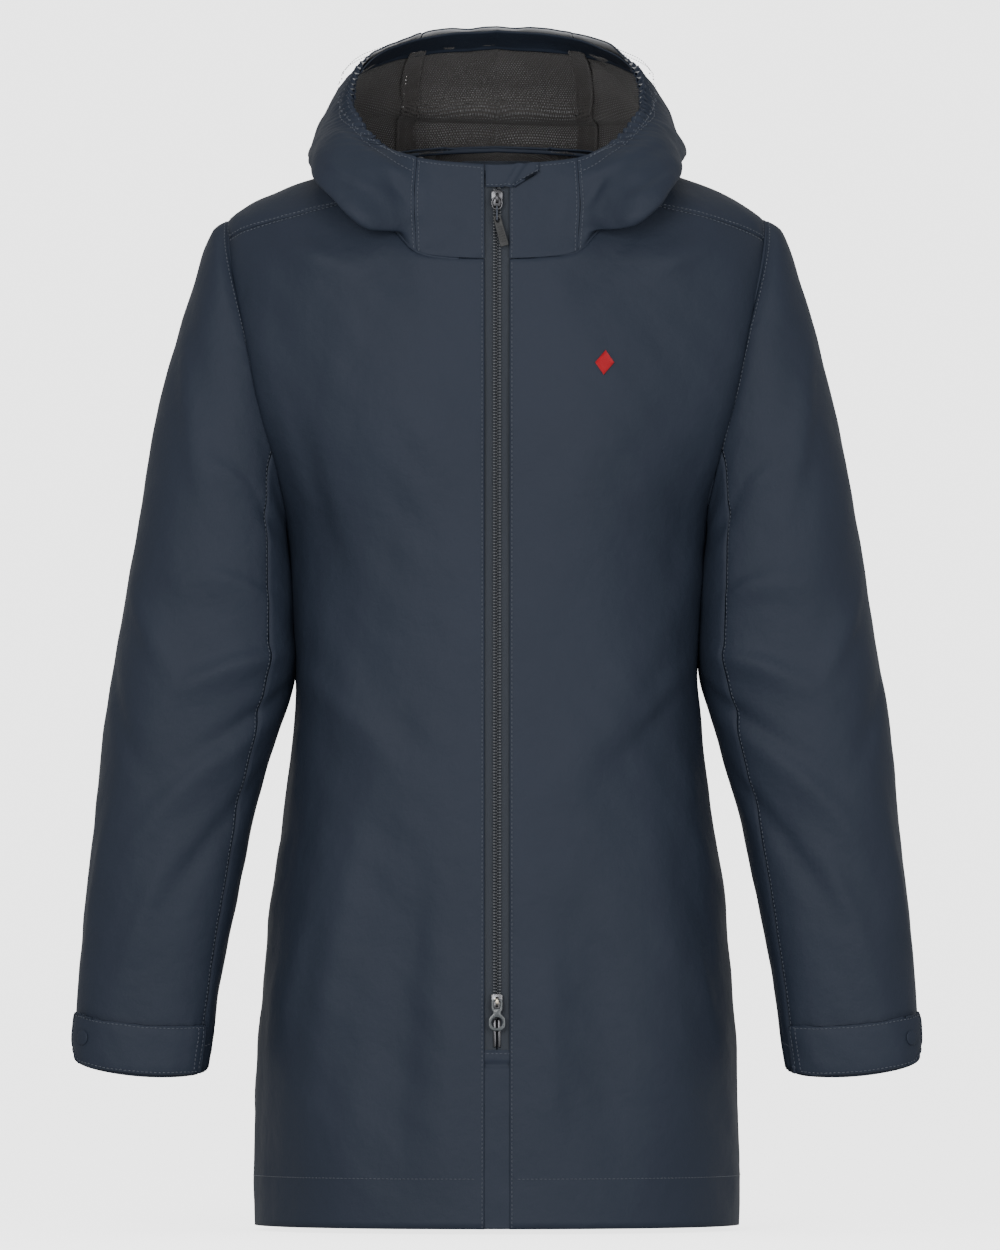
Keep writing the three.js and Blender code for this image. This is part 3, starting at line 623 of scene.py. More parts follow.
class Shader:
    def __init__(self, name, settings):
        self.material = bpy.data.materials.new(name)
        self.material.use_nodes = True
        self.nodes = self.material.node_tree.nodes
        self.links = self.material.node_tree.links
        self.surface = self.nodes["Principled BSDF"]
        for key, value in settings.items():
            self.surface.inputs[key].default_value = value

    def plug(self, value, socket):
        if isinstance(value, Number):
            self.links.new(value.socket, socket)
        elif isinstance(value, (tuple, list)) and len(value) == 3 and socket.type == "RGBA":
            socket.default_value = (*value, 1)
        elif value is not None:
            socket.default_value = value

    def node(self, kind, settings, *values, output=0, **named):
        made = self.nodes.new(kind)
        for key, value in settings.items():
            setattr(made, key, value)
        for i, value in enumerate(values):
            self.plug(value, made.inputs[i])
        for key, value in named.items():
            self.plug(value, made.inputs[key])
        return Number(self, made.outputs[output])

    # Places on the cloth in millimetres, across and along.
    def clothPlace(self):
        uv = self.node("ShaderNodeUVMap", {"uv_map": "cloth"})
        split = self.nodes.new("ShaderNodeSeparateXYZ")
        self.links.new(uv.socket, split.inputs[0])
        return Number(self, split.outputs[0]) * 1000, Number(self, split.outputs[1]) * 1000

    def space(self):
        return self.node("ShaderNodeTexCoord", {}, output="Object")

    def noise(self, scale, detail=3.0, roughness=0.5):
        sockets = {"Scale": scale, "Detail": detail, "Roughness": roughness}
        return self.node("ShaderNodeTexNoise", {}, Vector=self.space(), **sockets)

    def mix(self, factor, a, b):
        made = self.nodes.new("ShaderNodeMix")
        made.data_type = "RGBA"
        self.plug(factor, made.inputs["Factor"])
        self.plug(a, made.inputs[6])
        self.plug(b, made.inputs[7])
        return Number(self, made.outputs[2])

    def bump(self, height, depth, below=None):
        made = self.nodes.new("ShaderNodeBump")
        made.inputs["Strength"].default_value = 1
        made.inputs["Distance"].default_value = depth / 1000
        self.links.new(height.socket, made.inputs["Height"])
        if below:
            self.links.new(below.socket, made.inputs["Normal"])
        return Number(self, made.outputs[0])

    def done(self, **inputs):
        for key, value in inputs.items():
            self.plug(value, self.surface.inputs[key.replace("_", " ")])
        return self.material


def gentle(colour, amount):
    return tuple(c * amount for c in colour)


navyLook = {"colour": (0.0140, 0.0190, 0.0305), "thread": 0.62, "roughness": 0.6, "fine": 0.9, "broad": 2.2}


# A tight plain weave with a dull face, slightly uneven in colour, with fine crinkles.
def navyCloth():
    s = Shader("navy_cloth", {"Specular IOR Level": 0.16})
    colour = navyLook["colour"]
    across, along = s.clothPlace()
    turn = 6.2832 / navyLook["thread"]
    weave = (across * turn).sine() * (along * turn).sine()
    slubs = s.noise(900, 2)
    cloudy = s.noise(9, 3)
    tone = s.mix(cloudy, gentle(colour, 0.9), gentle(colour, 1.1))
    tone = s.mix((weave * 0.5 + 0.5) * 0.25, tone, gentle(colour, 1.5))
    crinkle = s.noise(55, 4, roughness=0.6)
    normal = s.bump(weave * 0.6 + slubs * 0.8, 0.025)
    normal = s.bump(crinkle, navyLook["fine"], normal)
    normal = s.bump(s.noise(17, 3, roughness=0.55), navyLook["broad"], normal)
    rough = slubs * 0.12 + (navyLook["roughness"] - 0.06)
    return s.done(Base_Color=tone, Roughness=rough, Normal=normal)


# The pale film on the inside of the shell cloth, with a faint printed grid of dots.
def backingLaminate():
    s = Shader("backing_laminate", {"Specular IOR Level": 0.4})
    across, along = s.clothPlace()
    dots = ((across * 2.5).sine() * (along * 2.5).sine()).above(0.7)
    tone = s.mix(dots, (0.36, 0.365, 0.375), (0.30, 0.305, 0.315))
    return s.done(Base_Color=tone, Roughness=s.noise(40) * 0.2 + 0.4, Normal=s.bump(s.noise(70, 4), 0.3))


meshLook = {"pitch": 2.2, "hole": 0.62, "colour": (0.036, 0.033, 0.032)}


# Knitted mesh: round holes in a staggered pattern, and a raised rim of yarn round each.
def liningMesh():
    s = Shader("lining_mesh", {"Sheen Weight": 0.2, "Specular IOR Level": 0.25})
    across, along = s.clothPlace()
    pitch = meshLook["pitch"]
    tall = pitch * 1.732
    nearest = None
    for shift in (0, 0.5):
        x = ((across / pitch + shift).fraction() - 0.5) * pitch
        y = ((along / tall + shift).fraction() - 0.5) * tall
        d = (x * x + y * y).root()
        nearest = d if nearest is None else nearest.least(d)
    solid = nearest.above(meshLook["hole"])
    yarn = s.noise(1500, 2)
    tone = s.mix(yarn, gentle(meshLook["colour"], 0.7), gentle(meshLook["colour"], 1.5))
    normal = s.bump((nearest * 3).sine() + yarn * 0.4, 0.25)
    return s.done(Base_Color=tone, Roughness=yarn * 0.2 + 0.65, Alpha=solid, Normal=normal)


# Woven tape with a herringbone of ribs along it.
def ribbon(name, colour, pitch=1.1):
    s = Shader(name, {"Sheen Weight": 0.02, "Specular IOR Level": 0.2})
    across, along = s.clothPlace()
    fold = (across / 5).fraction() - 0.5
    zigzag = (fold * fold).root() * 4
    rib = ((along + zigzag) * (6.2832 / pitch)).sine()
    tone = s.mix(rib * 0.5 + 0.5, gentle(colour, 0.75), gentle(colour, 1.25))
    return s.done(Base_Color=tone, Roughness=s.noise(300) * 0.2 + 0.6, Normal=s.bump(rib, 0.12))


def gatheredElastic():
    s = Shader("elastic", {"Sheen Weight": 0.15, "Specular IOR Level": 0.3})
    across, along = s.clothPlace()
    rib = (along * 3.1).sine()
    pull = (across * 1.1 + s.noise(60) * 5).sine()
    tone = s.mix(rib * 0.5 + 0.5, (0.012, 0.015, 0.021), (0.024, 0.03, 0.041))
    return s.done(Base_Color=tone, Roughness=0.75, Normal=s.bump(rib * 0.4 + pull, 0.35))


# Plated zinc, with fine handling scratches and paler worn patches.
def metal(name, colour, roughness, wear=None):
    s = Shader(name, {"Metallic": 1.0})
    grain = s.noise(700, 3)
    patches = s.noise(160, 4)
    tone = s.mix(grain, gentle(colour, 0.85), gentle(colour, 1.15))
    if wear:
        tone = s.mix(((patches - 0.5) * 7).most(0).least(1), tone, wear)
    rough = patches * 0.18 + grain * 0.1 + (roughness - 0.14)
    return s.done(Base_Color=tone, Roughness=rough, Normal=s.bump(grain, 0.01))


def moulded(name, colour, roughness, grainDepth=0.03, settings=None):
    s = Shader(name, {"Specular IOR Level": 0.45, **(settings or {})})
    grain = s.noise(1200, 3)
    smudge = s.noise(120, 3)
    tone = s.mix(smudge, gentle(colour, 0.85), gentle(colour, 1.2))
    rough = smudge * 0.2 + (roughness - 0.1)
    return s.done(Base_Color=tone, Roughness=rough, Normal=s.bump(grain, grainDepth))


# Embroidery: parallel satin stitches that catch the light in stripes.
def satinThread():
    s = Shader("red_thread", {"Sheen Weight": 0.03, "Specular IOR Level": 0.3, "Anisotropic": 0.5})
    across, along = s.clothPlace()
    strand = ((across + along * 0.55) * 11).sine()
    split = s.noise(500, 2)
    tone = s.mix(strand * 0.5 + 0.5, (0.3, 0.0015, 0.006), (0.52, 0.005, 0.018))
    return s.done(Base_Color=tone, Roughness=split * 0.2 + 0.3, Normal=s.bump(strand + split * 0.3, 0.16))


def spunThread():
    s = Shader("spun_thread", {"Sheen Weight": 0.2, "Specular IOR Level": 0.4})
    twist = s.noise(2500, 2)
    tone = s.mix(twist, (0.02, 0.026, 0.038), (0.05, 0.06, 0.082))
    return s.done(Base_Color=tone, Roughness=twist * 0.2 + 0.45, Normal=s.bump(twist, 0.05))


looks = {
    "navy": navyCloth(),
    "laminate": backingLaminate(),
    "mesh": liningMesh(),
    "tape": ribbon("zip_tape", (0.030, 0.035, 0.044)),
    "neckTape": ribbon("neck_tape_weave", (0.022, 0.027, 0.038), 1.6),
    "elastic": gatheredElastic(),
    "teeth": moulded("zip_teeth_plastic", (0.035, 0.038, 0.044), 0.38),
    "nickel": metal("dark_nickel", (0.07, 0.07, 0.075), 0.3),
    "worn": metal("worn_nickel", (0.1, 0.1, 0.105), 0.3, (0.55, 0.5, 0.4)),
    "pull": moulded("painted_pull", (0.035, 0.042, 0.047), 0.4, 0.02, {"Coat Weight": 0.25}),
    "rubber": moulded("black_rubber", (0.009, 0.0095, 0.01), 0.6, 0.06),
    "steel": metal("stud_steel", (0.42, 0.42, 0.42), 0.28, (0.6, 0.58, 0.55)),
    "red": satinThread(),
    "thread": spunThread(),
}
print("materials made")


# From just outside the armhole's plane to well down the sleeve.
def armholeBlend(side):
    away = np.array([side * 0.982, 0, -0.19])
    start = toRow([side * 206, 0, 700]) + away * 0.006
    return tuple(start), tuple(start + away * 0.075)


hoodBlend = (tuple(toRow([0, 0, 862])), tuple(toRow([0, 0, 958])))


def place(obj, body, slotName, *nodes):
    if body in ("hood", "sleeve_left", "sleeve_right"):
        side = -1 if body.endswith("right") else 1
        start, end = hoodBlend if body == "hood" else armholeBlend(side)
        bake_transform(obj)
        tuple(start)
        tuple(end)
    else:
        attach(obj, body)
    if nodes:
        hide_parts(*nodes)
    return obj


def panel(name, cloth, body, slotName, nodes=(), look="navy", inner="laminate", thick=1.4, outset=0.0):
    obj = cloth.build(name, looks[look], thick, outset, looks[inner] if inner else None)
    place(obj, body, slotName, *nodes)
    if min(cloth.flatWide, cloth.flatTall) > 0.01:
        flat = (cloth.flatWide * 1.02, cloth.flatTall * 1.02)
        min(cloth.area, flat[0] * flat[1])
    return obj


# One slim bead of thread, one unit across and one long, standing along z.
def stitchBead():
    bm = bmesh.new()
    bmesh.ops.create_uvsphere(bm, u_segments=6, v_segments=4, radius=0.5)
    bm.verts.ensure_lookup_table()
    corners = np.array([v.co[:] for v in bm.verts])
    faces = [[v.index for v in f.verts] for f in bm.faces]
    bm.free()
    return corners, faces


lockstitch = {"pitch": 3.5, "long": 2.4, "thick": 0.7, "sink": 0.2}


# Rows of lockstitch: the same bead of thread laid end to end along each line.
def stitchRows(name, rows, body, sink=lockstitch["sink"]):
    corners, faces = stitchBead()
    pitch, long, thick = lockstitch["pitch"], lockstitch["long"], lockstitch["thick"]
    spots = []
    for points, outward in rows:
        run = np.concatenate([[0], np.cumsum(np.linalg.norm(np.diff(points, axis=0), axis=1))])
        at = np.arange(pitch / 2, run[-1] - pitch / 2, pitch)
        a, b, n = (
            np.stack([np.interp(spot, run, table[:, k]) for k in range(3)], axis=-1)
            for spot, table in ((at - long / 2, points), (at + long / 2, points), (at, outward))
        )
        way = (b - a) / np.maximum(np.linalg.norm(b - a, axis=1), 1e-6)[:, None]
        across = np.cross(n, way)
        across /= np.maximum(np.linalg.norm(across, axis=1), 1e-6)[:, None]
        up = np.cross(way, across)
        centre = (a + b) / 2 + up * (thick / 2 - sink)
        x, y, z = (corners[None, :, k, None] for k in range(3))
        flat = centre[:, None] + across[:, None] * x * thick
        spots.append(flat + up[:, None] * y * thick + way[:, None] * z * long)
    every = toRow(np.concatenate(spots).reshape(-1, 3))
    count = len(every) // len(corners)
    mesh = bpy.data.meshes.new(name)
    loops = [[c + i * len(corners) for c in face] for i in range(count) for face in faces]
    mesh.from_pydata(every.tolist(), [], loops)
    bm = bmesh.new()
    bm.from_mesh(mesh)
    bpy.data.meshes.remove(mesh)
    bmesh.ops.recalc_face_normals(bm, faces=bm.faces)
    return place(finishMesh(name, bm, looks["thread"]), body, "shell_cloth")


def along(cloth, side, away, start=0.0, end=1.0):
    return cloth.at(*cloth.seamRow(side, away, start, end))


# Spreads a body panel's rows evenly, since its armhole half is the shorter.
def evenRows(surface):
    def at(u, w):
        low = w * armpitRow / 0.7
        high = armpitRow + (w - 0.7) * (1 - armpitRow) / 0.3
        return surface(u, np.where(w < 0.7, low, high))

    return at


hemRow = 40  # height of the hem's stitches


def buildBody():
    front = evenRows(part(frontSurface, 0, 0.9995, 0, 0.9995))
    for side, zipSide, shoulderEnd in (("left", "l", (0.42, 0.98)), ("right", "r", (0.02, 0.58))):
        cloth = Cloth(onSide(side, front), 52, 140, bodyRelief, rolled="lrt", seed=7)
        panel("front_panel_" + side, cloth, "shell", "shell_cloth", ["front_" + side])
        rows = [along(cloth, zipSide, 1.9), along(cloth, "b", hemRow, 0.02, 0.98)]
        rows.append(along(cloth, "t", 2.6, *shoulderEnd))
        stitchRows("front_stitches_" + side, rows, "shell")
    whole = evenRows(part(backSurface, 0.0003, 0.9997, 0, 0.9995))
    back = Cloth(whole, 96, 140, bodyRelief, rolled="lrt", seed=9)
    panel("back_panel", back, "shell", "shell_cloth", ["back"])
    rows = [along(back, "b", hemRow), along(back, "t", 2.6, 0.02, 0.28), along(back, "t", 2.6, 0.72, 0.98)]
    stitchRows("back_stitches", rows, "shell")
    shoulder = part(shoulderSurface, 0.002, 0.998, 0.002, 0.998)
    for side, seed in (("left", 12), ("right", 15)):
        cloth = Cloth(onSide(side, shoulder), 40, 44, bodyRelief, pucker=0.8, seed=seed)
        panel("shoulder_panel_" + side, cloth, "shell", "shell_cloth", ["shoulder_" + side])
        stitchRows("shoulder_stitches_" + side, [along(cloth, edge, 2.4) for edge in "lrb"], "shell")


buildBody()
print("body made")


def buildSleeves():
    for side, seed in (("left", 21), ("right", 33)):
        relief = sleeveRelief(seed)
        flip = side == "right"

        def upperFolds(p, outward, edges, u, v):
            across = 1 - u if flip else u
            return relief(p, outward, edges, sleeveSeamTurn(v) * (2 * across - 1), v)

        def underFolds(p, outward, edges, u, v):
            across = 1 - u if flip else u
            seam = sleeveSeamTurn(v)
            return relief(p, outward, edges, seam + (360 - 2 * seam) * across, v)

        upper = onSide(side, part(upperSleeve, 0.001, 0.999, 0.0015, 1))
        under = onSide(side, part(underSleeve, 0.002, 0.998, 0.0015, 1))
        top = Cloth(upper, 70, 120, upperFolds, rolled="lrb", seed=seed)
        panel("upper_sleeve_" + side, top, "sleeve_" + side, "shell_cloth", ["sleeve_upper_" + side])
        low = Cloth(under, 26, 120, underFolds, rolled="lrb", seed=seed + 3)
        panel("under_sleeve_" + side, low, "sleeve_" + side, "shell_cloth", ["sleeve_under_" + side])
        seams = [along(top, edge, away) for edge, away in (("b", 2.6), ("l", 2.4), ("r", 2.4), ("t", 22))]
        seams.append(along(low, "t", 22))
        stitchRows("sleeve_stitches_" + side, seams, "sleeve_" + side)


buildSleeves()
print("sleeves made")


hoodFolds = [  # x, height to x, height, half width, how far out, for what faces the front
    (-134, 877, -70, 837, 10, 2.6), (134, 872, 72, 838, 10, 2.4), (-146, 850, -96, 822, 9, -2.2),
    (146, 850, 98, 826, 9, -2.0), (-120, 905, -104, 866, 8, 2.0), (122, 900, 106, 868, 8, 1.8),
    (-90, 846, -66, 812, 8, -1.6), (90, 846, 68, 812, 8, -1.6), (-62, 838, -50, 790, 9, 1.2),
    (60, 836, 50, 792, 9, 1.2),
]
rimGather = {"tall": 2.4, "long": 7.6, "reach": 13, "from": 0.24, "to": 0.72, "fade": 0.06}


def rimShare(u):
    start, end = rimGather["from"], rimGather["to"]
    return np.clip((u - start) / rimGather["fade"], 0, 1) * np.clip((end - u) / rimGather["fade"], 0, 1)


def noGather(u):
    return 0 * u


# Elastic in the rim draws the cloth into small upright gathers that fade away below it.
def hoodRelief(seed, share=noGather, calm=1.0):
    def relief(p, outward, edges, u, v):
        forward = np.clip(0.35 - outward[:, 1] * 1.5, 0, 1)
        total = sum(crease(p[:, 0], p[:, 2], c) for c in hoodFolds) * forward * 1.6
        total = total + 2.4 * wave(p, (85, 52), seed) + 1.0 * wave(p, (30, 19), seed + 1)
        run = p[:, 2] * 0.7 + p[:, 1] * 0.7
        uneven = 2.2 * wave(p, (40,), seed + 4)
        gather = np.sin(6.283 * run / rimGather["long"] + uneven) * rimGather["tall"]
        fade = np.exp(-edges["t"].ravel() / rimGather["reach"]) * rimShare(share(u))
        return (total * np.clip(v * 4, 0.2, 1) * calm) + gather * fade

    return relief


# The mesh lining hangs in a fold across the back of the hood.
def slump(p, outward, edges, u, v):
    deep = crease(p[:, 0], p[:, 2], (125, 893, -120, 899, 11, -13))
    slight = crease(p[:, 0], p[:, 2], (-70, 878, 90, 868, 12, -3))
    return deep + slight + 1.2 * wave(p, (70, 40), 81)


hoodCuts = {  # share across from and to, then share up from and to
    "collar": (0.0253, 0.1598, 0.001, 1), "side": (0.1602, 0.8498, 0.001, 1),
    "mesh": (0.2, 0.852, 0.12, 0.9), "rim": (0.19, 0.67, 0.88, 0.992),
    "lining": (0.08, 0.154, 0.03, 0.98), "strip": (0.832, 0.872, 0.3, 0.9),
}
hoodBackCuts = {  # where it starts either side, then share up from and to
    "crown": (0.8508, 0.003, 1), "mesh": (0.846, 0.012, 0.9), "brim": (0.655, 0.868, 0.993),
}


def hoodPart(name, side):
    return onSide(side, part(hoodPoint, *hoodCuts[name]))


def hoodBackPart(name):
    edge, low, high = hoodBackCuts[name]
    return part(hoodBack(edge), 0, 1, low, high)


def buildHoodSide(side, zipEdge, seamEdge):
    across = (lambda u: 1 - u) if side == "right" else (lambda u: u)
    collarFolds = hoodRelief(41, calm=0.5)
    collar = Cloth(hoodPart("collar", side), 30, 40, collarFolds, rolled="lrb", roll=0.45, seed=43)
    panel("collar_cloth_" + side, collar, "hood", "shell_cloth", ["collar_" + side])
    rows = [along(collar, zipEdge, 1.9), along(collar, seamEdge, 2.4), along(collar, "t", 3)]
    stitchRows("collar_stitches_" + side, rows, "hood")
    sideFolds = hoodRelief(51, lambda u: 0.16 + 0.69 * across(u))
    cloth = Cloth(hoodPart("side", side), 130, 74, sideFolds, rolled="lrb", roll=0.45, seed=53)
    panel("hood_side_cloth_" + side, cloth, "hood", "shell_cloth", ["hood_side_" + side])
    rows = [along(cloth, edge, away) for edge, away in (("t", 3), ("t", 13), ("l", 2.4), ("r", 2.4))]
    stitchRows("hood_stitches_" + side, rows, "hood")
    outer = hoodRelief(51)
    mesh = Cloth(hoodPart("mesh", side), 60, 60, lambda *at: outer(*at) + slump(*at), rolled="")
    panel("hood_mesh_" + side, mesh, "hood", "lining_mesh", ["hood_lining_" + side], "mesh", None, 0.5, -4.2)
    rimFolds = hoodRelief(61, lambda u: 0.2 + 0.45 * across(u))
    rim = Cloth(hoodPart("rim", side), 150, 10, rimFolds, rolled="b")
    panel("rim_elastic_" + side, rim, "hood", "elastic", ["hood_elastic_" + side], "navy", "navy", 0.9, -3.0)
    stitchRows("rim_stitches_" + side, [along(rim, "b", 4)], "hood", sink=-4.2)
    lining = Cloth(hoodPart("lining", side), 16, 24, rolled="")
    nodes = ["collar_lining_" + side]
    panel("collar_lining_cloth_" + side, lining, "hood", "lining_mesh", nodes, "navy", None, 0.8, -4.2)


def buildHood():
    buildHoodSide("left", "l", "r")
    buildHoodSide("right", "r", "l")
    crown = Cloth(hoodBackPart("crown"), 56, 80, hoodRelief(71), rolled="lrb", roll=0.45, seed=73)
    panel("hood_crown_cloth", crown, "hood", "shell_cloth", ["hood_crown"])
    rows = [along(crown, edge, away) for edge, away in (("l", 2.4), ("r", 2.4), ("t", 3), ("t", 13))]
    stitchRows("crown_stitches", rows, "hood")
    mesh = Cloth(hoodBackPart("mesh"), 60, 90, slump, rolled="")
    panel("hood_crown_mesh", mesh, "hood", "lining_mesh", ["hood_crown_lining"], "mesh", None, 0.5, -4.2)
    for side in ("left", "right"):
        strip = Cloth(hoodPart("strip", side), 6, 60, slump, rolled="lr", roll=0.5, pucker=0.2)
        panel("hood_seam_tape_" + side, strip, "hood", "lining_mesh", [], "mesh", None, 0.7, -5.6)
    brim = Cloth(hoodBackPart("brim"), 150, 12, ripple(0.8, (60, 34), 83), rolled="b")
    panel("brim_facing_cloth", brim, "hood", "shell_cloth", ["hood_brim_facing"], "navy", "navy", 1.0, -4.0)
    stitchRows("brim_stitches", [along(brim, "b", 3), along(brim, "b", 9)], "hood", sink=-5.4)


buildHood()
print("hood made")


# Part of a ring round the body, between two heights and two angles.
def ringOf(low, high, first, last):
    return lambda u, v: bodyPoint(first + (last - first) * u, low + (high - low) * v)


hanger = {"wide": 56, "back": 57.5, "bow": 11, "low": 846, "strap": 7}


def hangLoop(u, v):
    y = hanger["back"] - hanger["bow"] * np.sin(np.pi * u) ** 2
    return np.stack([hanger["wide"] * (0.5 - u), y, hanger["low"] + hanger["strap"] * v], axis=-1)


def liningTube(u, v):
    return sleeveSurface(180 + 360 * (0.004 + 0.992 * u), 0.05 + 0.88 * v)


def cuffGather(p, outward, edges, u, v):
    return np.sin(6.283 * (p[:, 0] * 0.5 + p[:, 1]) / 5.5) * np.sin(np.pi * np.clip(u, 0, 1)) ** 0.4


liningCut = {"low": 0.045, "high": 0.925, "bodyInset": -12, "sleeveInset": -6}


def cuffBand(u, v):
    return sleeveSurface(110 + 140 * u, v)


def buildInside():
    low, high = liningCut["low"], liningCut["high"]
    bodyInset, sleeveInset = liningCut["bodyInset"], liningCut["sleeveInset"]
    for side in ("left", "right"):
        front = Cloth(onSide(side, part(frontSurface, 0.11, 0.97, low, high)), 36, 60, bodyRelief, rolled="")
        nodes = ["lining_front_" + side]
        panel("front_mesh_" + side, front, "shell", "lining_mesh", nodes, "mesh", None, 0.5, bodyInset)
        tube = Cloth(onSide(side, liningTube), 48, 70, ripple(1, (70, 40), 91), rolled="")
        nodes = ["lining_sleeve_" + side]
        body = "sleeve_" + side
        panel("sleeve_mesh_" + side, tube, body, "lining_mesh", nodes, "mesh", None, 0.5, sleeveInset)
        band = Cloth(onSide(side, part(cuffBand, 0, 1, 0.95, 0.992)), 120, 6, cuffGather, rolled="b")
        nodes = ["cuff_elastic_" + side]
        panel("cuff_elastic_band_" + side, band, body, "elastic", nodes, "elastic", None, 0.9, -3)
    back = Cloth(part(backSurface, 0.016, 0.984, low, high), 60, 60, bodyRelief, rolled="")
    panel("back_mesh", back, "shell", "lining_mesh", ["lining_back"], "mesh", None, 0.5, bodyInset)
    hem = Cloth(ringOf(1, 38, 9, 351), 180, 8, ripple(0.4, (60, 30), 95), rolled="t", roll=0.5)
    panel("hem_facing_cloth", hem, "shell", "shell_cloth", ["hem_facing"], "navy", "navy", 0.9, -3.0)
    tape = Cloth(ringOf(843, 855, 150, 210), 40, 5, rolled="bt", roll=0.25, pucker=0)
    panel("neck_tape_band", tape, "shell", "tape_weave", ["neck_tape"], "neckTape", None, 0.8, -3.8)
    neck = Cloth(ringOf(770, 862.5, 118, 242), 60, 20, rolled="")
    panel("neck_mesh", neck, "shell", "lining_mesh", [], "mesh", None, 0.5, -2.4)
    loop = Cloth(hangLoop, 60, 6, rolled="bt", roll=0.35, pucker=0)
    panel("hanger_strap", loop, "shell", "tape_weave", ["hang_loop"], "neckTape", None, 1.0, 0.5)


buildInside()
print("linings made")


slope = math.atan(zipLine["lean"])


def alongZip(height):
    return height * math.hypot(1, zipLine["lean"])


# A place on the zip: x across, y behind the front panels' face, z up along the zip from the hem.
def onZip(x, y, z):
    x, y, z = np.broadcast_arrays(x, y, z)
    back = -zipLine["atHem"] + y * np.cos(slope) + z * np.sin(slope)
    return np.stack([x, back, z * np.cos(slope) - y * np.sin(slope)], axis=-1).astype(float)


def zipMatrix(x, y, z):
    turn = Matrix.Rotation(-slope, 4, "X")
    return Matrix.Translation(Vector(toRow(onZip(x, y, z)))) @ turn @ Matrix.Scale(0.001, 4)


# A rounded block, in millimetres, its corners eased off.
def block(bm, size, centre, ease=0.25, steps=2):
    made = bmesh.ops.create_cube(bm, size=1, matrix=Matrix.Translation(centre) @ Matrix.Diagonal((*size, 1)))
    edges = list({e for v in made["verts"] for e in v.link_edges})
    bmesh.ops.bevel(bm, geom=edges, offset=ease, segments=steps, affect="EDGES", profile=0.5, material=-1)


# A flat plate facing -y with rounded rims, from an outline and holes given as x and z.
def slab(bm, loops, y, thick, ease=0.2):
    edges = []
    for loop in loops:
        verts = [bm.verts.new((x, y - thick / 2, z)) for x, z in loop]
        edges += [bm.edges.new((verts[i], verts[(i + 1) % len(verts)])) for i in range(len(verts))]
    filled = bmesh.ops.triangle_fill(bm, use_beauty=True, use_dissolve=False, edges=edges)
    faces = [f for f in filled["geom"] if isinstance(f, bmesh.types.BMFace)]
    grown = bmesh.ops.extrude_face_region(bm, geom=faces)
    moved = [g for g in grown["geom"] if isinstance(g, bmesh.types.BMVert)]
    bmesh.ops.translate(bm, verts=moved, vec=(0, thick, 0))
    bm.normal_update()
    bmesh.ops.recalc_face_normals(bm, faces=bm.faces)
    own = set(moved) | {v for e in edges for v in e.verts}
    inside = [e for e in bm.edges if e.verts[0] in own and e.verts[1] in own]
    rims = [e for e in inside if e.is_manifold and e.calc_face_angle(0) > 1.2]
    bmesh.ops.bevel(bm, geom=rims, offset=ease, segments=2, affect="EDGES", profile=0.5, material=-1)


def ovalPoints(x, z, halfWide, halfTall, count=36, power=1.0):
    turn = np.linspace(0, 2 * np.pi, count, endpoint=False)
    c, s = np.cos(turn), np.sin(turn)
    xs = x + halfWide * np.sign(c) * np.abs(c) ** power
    return list(zip(xs, z + halfTall * np.sign(s) * np.abs(s) ** power))


# Rounds an outline's corners with short arcs.
def rounded(points, radius=1.0, steps=4):
    out = []
    points = [np.array(p, float) for p in points]
    for i, p in enumerate(points):
        a, b = points[i - 1] - p, points[(i + 1) % len(points)] - p
        r = min(radius, np.linalg.norm(a) * 0.45, np.linalg.norm(b) * 0.45)
        start, end = p + a / np.linalg.norm(a) * r, p + b / np.linalg.norm(b) * r
        for t in np.linspace(0, 1, steps + 1):
            out.append(tuple((1 - t) ** 2 * start + 2 * t * (1 - t) * p + t * t * end))
    return out


# A round wire along points, in millimetres.
def wire(bm, points, radius, closed=True, sides=3):
    curve = bpy.data.curves.new("wire", "CURVE")
    curve.dimensions = "3D"
    curve.bevel_depth = radius
    curve.bevel_resolution = sides
    curve.use_fill_caps = True
    line = curve.splines.new("POLY")
    line.points.add(len(points) - 1)
    for spot, p in zip(line.points, points):
        spot.co = (*p, 1)
    line.use_cyclic_u = closed
    holder = bpy.data.objects.new("wire", curve)
    mesh = bpy.data.meshes.new_from_object(holder)
    bm.from_mesh(mesh)
    bpy.data.objects.remove(holder)
    bpy.data.meshes.remove(mesh)
    bpy.data.curves.remove(curve)


# A rounded strip of gathered-in seam allowance just behind a seam line, closing it against the light.
def seamWelt(name, line, middle, radius, sink, closed):
    inward = middle - line
    inward /= np.linalg.norm(inward, axis=1)[:, None]
    bm = bmesh.new()
    wire(bm, line + inward * sink, radius, closed, 3)
    bmesh.ops.scale(bm, vec=(0.001, 0.001, 0.001), verts=bm.verts)
    bmesh.ops.translate(bm, vec=hemOrigin, verts=bm.verts)
    place(finishMesh(name, bm, looks["navy"]), "shell", "shell_cloth")


def buildWelts():
    turn = np.linspace(0, 360, 120, endpoint=False)
    ring = bodyPoint(*armhole(turn).T)
    angle = np.linspace(8, 352, 200)
    neck = bodyPoint(angle, neckHeight(angle))
    for side, name in ((1, "left"), (-1, "right")):
        middle = np.array([side * 150.0, 0, 690])
        seamWelt("armhole_allowance_" + name, ring * np.array([side, 1, 1]), middle, 1.8, 2.6, True)
    seamWelt("neck_allowance", neck, np.array([0, 0, 700.0]), 1.6, 2.6, False)


def zipPiece(name, bm, look, body, slotName, at, nodes=()):
    bmesh.ops.transform(bm, matrix=zipMatrix(*at), verts=bm.verts)
    bmesh.ops.recalc_face_normals(bm, faces=bm.faces)
    obj = finishMesh(name, bm, looks[look])
    return place(obj, body, slotName, *nodes)


teeth = {"pitch": 2.4, "low": 168, "high": 833, "thick": 1.9}


